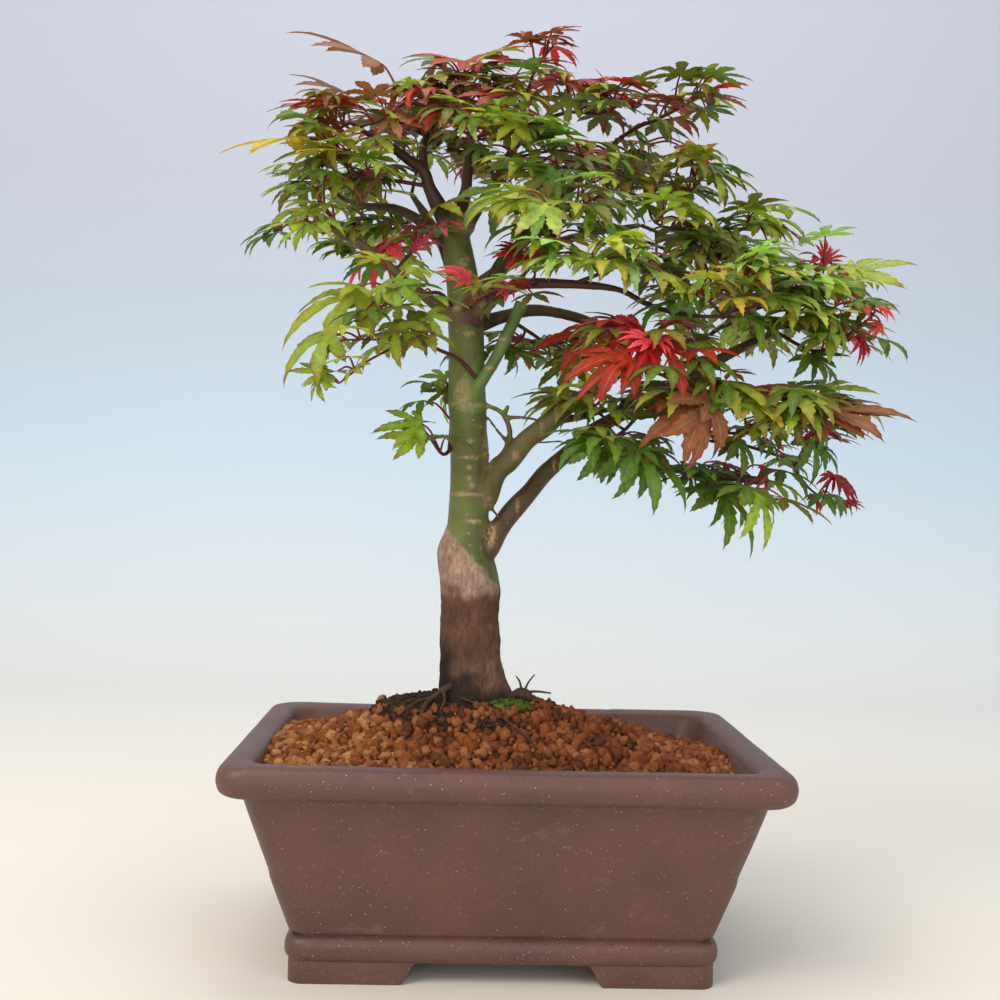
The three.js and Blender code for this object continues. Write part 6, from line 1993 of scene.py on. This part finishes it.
@dataclass
class Foliage:
    """All the leafy shoots, each one piece: twigs, red leaf stalks and lobed leaves."""

    density: float = 2.7  # leaves grown for each one the plan counts as extra
    spacing: float = 7.2  # mm kept between the middles of neighbouring blades
    twig: str = "54241c"
    stalk: str = "96302e"
    seed: int = 21
    middles: list[np.ndarray] = field(default_factory=list)

    def forms(self, material: Material) -> Collection:
        """The leaf shapes that the shoots share.

        Returns:
            A collection that isn't linked to the scene; its objects sort by form number.
        """
        kept = bpy.data.collections.new("leaf_forms")
        habits = [Habit.SPREAD] * 8 + [Habit.DROOPING] * 8 + [Habit.YOUNG] * 6
        for number, habit in enumerate(habits):
            kept.objects.link(LeafForm(habit, number).build(material))
        return kept

    @staticmethod
    def tree(leaf: Material, bark: Material) -> NodeTree:
        """Turns a carrier mesh into round stalks and leaves.

        Returns:
            The geometry tree, with inputs Forms and Sides.
        """
        tree = geometry_tree("grow_shoot", {"Forms": ("NodeSocketCollection", None),
                                            "Sides": ("NodeSocketInt", 6)})
        group_in, group_out = tree.nodes["Group Input"], tree.nodes["Group Output"]

        def named(name: str, kind: str) -> NodeSocket:
            """The carrier mesh's value of one name."""
            node = add_node(tree, "GeometryNodeInputNamedAttribute", {"data_type": kind})
            node.inputs["Name"].default_value = name
            return node.outputs["Attribute"]

        split = add_node(tree, "GeometryNodeSeparateGeometry", {"domain": "POINT"},
                         {0: group_in.outputs["Geometry"], 1: named("is_leaf", "BOOLEAN")})
        curves = add_node(tree, "GeometryNodeMeshToCurve", None, {0: split.outputs[1]})
        sized = add_node(tree, "GeometryNodeSetCurveRadius", None,
                         {"Curve": curves.outputs[0], "Radius": named("radius", "FLOAT")})
        ring = add_node(tree, "GeometryNodeCurvePrimitiveCircle", None,
                        {"Resolution": group_in.outputs["Sides"], "Radius": 1.0})
        stalks = add_node(tree, "GeometryNodeCurveToMesh", None,
                          {"Curve": sized.outputs[0], "Profile Curve": ring.outputs[0], "Fill Caps": True})
        if "Scale" in stalks.inputs:
            tree.links.new(named("radius", "FLOAT"), stalks.inputs["Scale"])
        stalks = add_node(tree, "GeometryNodeSetMaterial", None, {0: stalks.outputs[0], "Material": bark})
        forms = add_node(tree, "GeometryNodeCollectionInfo", None,
                         {"Collection": group_in.outputs["Forms"], "Separate Children": True,
                          "Reset Children": True})
        turn = add_node(tree, "FunctionNodeEulerToRotation", None, {0: named("turn", "FLOAT_VECTOR")})
        leaves = add_node(tree, "GeometryNodeInstanceOnPoints", None, {
            "Points": split.outputs[0], "Instance": forms.outputs[0], "Pick Instance": True,
            "Instance Index": named("form", "INT"), "Rotation": turn.outputs[0],
            "Scale": named("size", "FLOAT_VECTOR")})
        real = add_node(tree, "GeometryNodeRealizeInstances", None, {0: leaves.outputs[0]})
        blades = add_node(tree, "GeometryNodeSetMaterial", None, {0: real.outputs[0], "Material": leaf})
        joined = add_node(tree, "GeometryNodeJoinGeometry")
        tree.links.new(stalks.outputs[0], joined.inputs[0])
        tree.links.new(blades.outputs[0], joined.inputs[0])
        tree.links.new(joined.outputs[0], group_out.inputs[0])
        return tree

    def colours(self, rng: random.Random, hue: str) -> tuple[Any, Any]:
        """A leaf's inner and edge colours, a little off its hue."""
        inner, edge = (np.array(linear(c)) for c in HUES[hue])
        warmth, value = rng.uniform(-0.13, 0.13), rng.uniform(0.82, 1.18)
        shift = np.array([1 + warmth, 1.0, 1 - warmth, 1.0]) * np.array([value, value, value, 1.0])
        blend = rng.uniform(0, 0.7)
        return tuple(inner * shift), tuple((inner * blend + edge * (1 - blend)) * shift)

    @staticmethod
    def turned(forward: np.ndarray, up: np.ndarray) -> Any:
        """Euler angles that take +Y to forward and +Z as near to up as can be."""
        y = Vector(forward).normalized()
        z = Vector(up)
        z = (z - y * z.dot(y)).normalized()
        x = y.cross(z)
        return Matrix((x, y, z)).transposed().to_euler()

    def stalk_to(self, growth: Growth, start: np.ndarray, foot: np.ndarray, tint: str) -> None:
        """A thin arching leaf stalk from the twig to the blade's foot."""
        span = np.linalg.norm(foot - start)
        rise = np.array([0, 0, 0.16 * span])
        route = smooth_route([start, start + (foot - start) * 0.5 + rise, foot], 3)
        growth.chain(route, np.linspace(0.62, 0.4, len(route)), tint)

    def known_leaf(self, growth: Growth, twigs: np.ndarray, rng: random.Random, hue: str,
                   foot: np.ndarray, tip: np.ndarray) -> None:
        """One leaf between a foot and a tip."""
        along = tip - foot
        length = float(np.linalg.norm(along)) * 1.12
        steep = -along[2] / max(length, 1e-6)
        outward = np.array([foot[0] + 20, foot[1] * 0.6 - 14, 0.0])
        outward /= np.linalg.norm(outward) + 1e-6
        lean = -0.45 if foot[2] < 375 else -0.12
        up = np.array([rng.uniform(-0.25, 0.25), lean, 0.75]) + outward * (0.25 + 0.6 * max(0.0, steep))
        if hue in "ck" or (hue == "r" and steep > 0.3):
            form = 16 + rng.randrange(6) if rng.random() < 0.75 else 8 + rng.randrange(8)
        else:
            form = (8 if steep > 0.45 else 0) + rng.randrange(8)
        forward = along / np.linalg.norm(along) + np.array([0, 0, 0.25])
        near = twigs[np.argmin(np.linalg.norm(twigs - foot, axis=1))]
        if np.linalg.norm(near - foot) > 2:
            self.stalk_to(growth, near, foot, self.stalk)
        growth.leaf(foot, self.turned(forward, up), max(13.0, length), form, *self.colours(rng, hue),
                    rng.uniform(0.2, 1.0) if hue in "lpy" else rng.uniform(0, 0.5))
        self.middles.append(foot + along * 0.45)

    def extra_hue(self, rng: random.Random, spray: Spray, height: float) -> str:
        """The hue of a leaf whose place isn't known: mostly green, bronze towards the top."""
        if spray.hues and rng.random() < 0.3:
            return rng.choice(spray.hues)
        if height > 392:
            return rng.choice("llobbrgob")
        if height < 285:
            return rng.choice("gggol")
        return rng.choice("lllggoolp")

    def extra_leaves(self, growth: Growth, spray: Spray, routes: list[np.ndarray],
                     rng: random.Random) -> None:
        """Opposite pairs along the twigs, held flat to the light."""
        want = round(spray.fill * self.density) + 3
        made = tries = 0
        while made < want and tries < 110:
            tries += 1
            route = routes[tries % len(routes)] if rng.random() < 0.75 else routes[0]
            share = rng.uniform(0.3, 1.0) ** 0.8
            spot = route[min(len(route) - 1, int(share * (len(route) - 1)))]
            ahead = route[-1] - route[max(0, len(route) - 4)]
            ahead = ahead / (np.linalg.norm(ahead) + 1e-6)
            side = np.cross(ahead, [0, 0, 1.0])
            side = side / (np.linalg.norm(side) + 1e-6)
            lift = rng.uniform(-0.1, 0.55)
            for sign in (-1, 1):
                reach = rng.uniform(9, 21)
                away = ahead * rng.uniform(0.0, 0.9) + side * sign * rng.uniform(0.5, 1.0)
                away = away + np.array([0, 0, lift])
                away /= np.linalg.norm(away)
                foot = spot + away * reach
                size = spray.size * rng.uniform(0.95, 1.35)
                flat = away * [1, 1, 0.2] + np.array([0, 0, rng.uniform(-0.28, 0.1)])
                middle = foot + flat * size * 0.45
                apart = min((np.linalg.norm((middle - other) * [1, 1, 1.5]) for other in self.middles),
                            default=99.0)
                if apart < self.spacing or not inside(foot + flat * size):
                    continue
                hue = self.extra_hue(rng, spray, foot[2])
                tilt = np.array([away[0] * 0.35 + rng.uniform(-0.3, 0.3), away[1] * 0.35 - 0.25, 1.0])
                form = rng.randrange(16)
                self.stalk_to(growth, spot, foot, self.stalk)
                growth.leaf(foot, self.turned(flat, tilt), size, form, *self.colours(rng, hue),
                            rng.uniform(0, 0.8))
                self.middles.append(middle)
                made += 1

    def shoot(self, spray: Spray, forms: Collection, tree: NodeTree) -> None:
        """Grows one shoot and hands it over."""
        rng = random.Random(f"{self.seed}{spray.name}")
        growth = Growth()
        stem = smooth_route(spray.stem, 4)
        growth.chain(stem, np.linspace(1.1, 0.5, len(stem)), self.twig)
        routes = [stem]
        for share, route in spray.forks:
            start = stem[int(share * (len(stem) - 1))]
            fork = smooth_route([start, *route], 4)
            growth.chain(fork, np.linspace(0.8, 0.45, len(fork)), self.twig)
            routes.append(fork)
        twigs = np.vstack(routes)
        for number, (foot, tip) in enumerate(spray.leaves):
            self.known_leaf(growth, twigs, rng, spray.hues[number % len(spray.hues)],
                            np.array(foot, float), np.array(tip, float))
        self.extra_leaves(growth, spray, routes, rng)
        piece = mesh_object(f"foliage_{spray.name}", place(growth.points), [], None, growth.edges)
        blank = {"is_leaf": 0, "radius": 0.0, "turn": (0, 0, 0), "size": (0, 0, 0), "form": 0,
                 "tint": (0, 0, 0, 1), "tint_edge": (0, 0, 0, 1), "dry": 0.0}
        kinds = {"is_leaf": "BOOLEAN", "radius": "FLOAT", "turn": "FLOAT_VECTOR", "size": "FLOAT_VECTOR",
                 "form": "INT", "tint": "FLOAT_COLOR", "tint_edge": "FLOAT_COLOR", "dry": "FLOAT"}
        for name, kind in kinds.items():
            store(piece.data, name, kind, [row.get(name, blank[name]) for row in growth.values])
        run_tree(piece, tree, {"Forms": forms, "Sides": 6})
        hand_over(piece, f"shoot_{spray.name}")

    def build(self) -> None:
        """Grows every shoot."""
        leaf, bark = LeafBlade().material(), TwigBark().material()
        forms, tree = self.forms(leaf), self.tree(leaf, bark)
        for spray in SPRAYS:
            self.middles.extend((np.array(f) + np.array(t)) / 2 for f, t in spray.leaves)
        for spray in SPRAYS:
            self.shoot(spray, forms, tree)
        LOG.info("%d leaves", len(self.middles))


def inside(point: np.ndarray) -> bool:
    """Whether a leaf's tip in millimetres stays within the CAD model's box."""
    low, high = (np.array(corner) for corner in CAD_BOX)
    return bool(np.all(place(point) > low - 0.001) and np.all(place(point) < high + 0.001))


# ---- Studio -----------------------------------------------------------------------------------------


@dataclass
class Studio:
    """Pale seamless paper, large soft lights and the camera."""

    camera_at: Point = (-0.05668, -0.62521, 0.21542)
    yaw: float = 0.033
    pitch: float = -0.0005
    roll: float = 0.0274
    lens: float = 45.3
    sweep_at: float = 0.75  # how far behind the pot the paper starts to rise
    sweep_radius: float = 0.5

    def paper(self) -> None:
        """The floor that curves up into a wall behind."""
        profile = [(-2.6, 0.0), (self.sweep_at, 0.0)]
        for step in range(1, 17):
            angle = math.pi / 2 * step / 16
            profile.append((self.sweep_at + self.sweep_radius * math.sin(angle),
                            self.sweep_radius * (1 - math.cos(angle))))
        profile.append((self.sweep_at + self.sweep_radius, 3.2))
        vertices = [(x, y, z) for y, z in profile for x in (-3.5, 3.5)]
        faces = [(2 * i, 2 * i + 1, 2 * i + 3, 2 * i + 2) for i in range(len(profile) - 1)]
        mesh_object("studio_paper", vertices, faces, Backdrop().material())

    def light(self, name: str, at: Point, size: float, watts: float, colour: str = "ffffff") -> None:
        """One soft square light aimed at the plant's middle."""
        data = bpy.data.lights.new(name, "AREA")
        data.shape, data.size, data.energy = "SQUARE", size, watts
        data.color = linear(colour)[:3]
        made = bpy.data.objects.new(name, data)
        made.location = at
        aim = Vector((0, 0, 0.24)) - Vector(at)
        made.rotation_euler = aim.to_track_quat("-Z", "Y").to_euler()
        bpy.context.scene.collection.objects.link(made)

    def camera(self) -> None:
        """The camera in front of the pot, a little to the left."""
        forward = Vector((math.sin(self.yaw) * math.cos(self.pitch),
                          math.cos(self.yaw) * math.cos(self.pitch), -math.sin(self.pitch)))
        right = forward.cross(Vector((0, 0, 1))).normalized()
        up = right.cross(forward)
        turned_right = right * math.cos(self.roll) + up * math.sin(self.roll)
        turned_up = -right * math.sin(self.roll) + up * math.cos(self.roll)
        data = bpy.data.cameras.new("camera")
        data.lens, data.sensor_width = self.lens, 36.0
        made = bpy.data.objects.new("camera", data)
        made.matrix_world = (Matrix.Translation(self.camera_at)
                             @ Matrix((turned_right, turned_up, -forward)).transposed().to_4x4())
        bpy.context.scene.collection.objects.link(made)
        bpy.context.scene.camera = made

    def build(self) -> None:
        """Sets the paper, the lights, the dim surroundings and the camera."""
        bpy.context.scene.view_settings.view_transform = "Standard"
        self.paper()
        self.light("key_left", (-1.1, -1.0, 1.5), 1.2, 26, "fff6ea")
        self.light("fill_right", (1.3, -1.3, 0.9), 1.5, 9, "eef4ff")
        self.light("top", (0.1, 0.2, 1.9), 1.4, 15)
        self.light("low_front", (-0.2, -1.9, 0.35), 1.0, 8, "fff9f0")
        world = bpy.data.worlds.new("studio")
        world.use_nodes = True
        background = world.node_tree.nodes["Background"]
        background.inputs["Color"].default_value = linear("e8eef5")
        background.inputs["Strength"].default_value = 0.75
        bpy.context.scene.world = world
        self.camera()


def main() -> None:
    """Builds the potted maple."""
    logging.basicConfig(level=logging.INFO, format="%(name)s: %(message)s")
    pot = Pot()
    pot.build()
    Drainage().build()
    Ground(pot).build()
    Wood().build()
    Roots().build()
    Foliage().build()
    Studio().build()


if __name__ == "__main__":
    main()
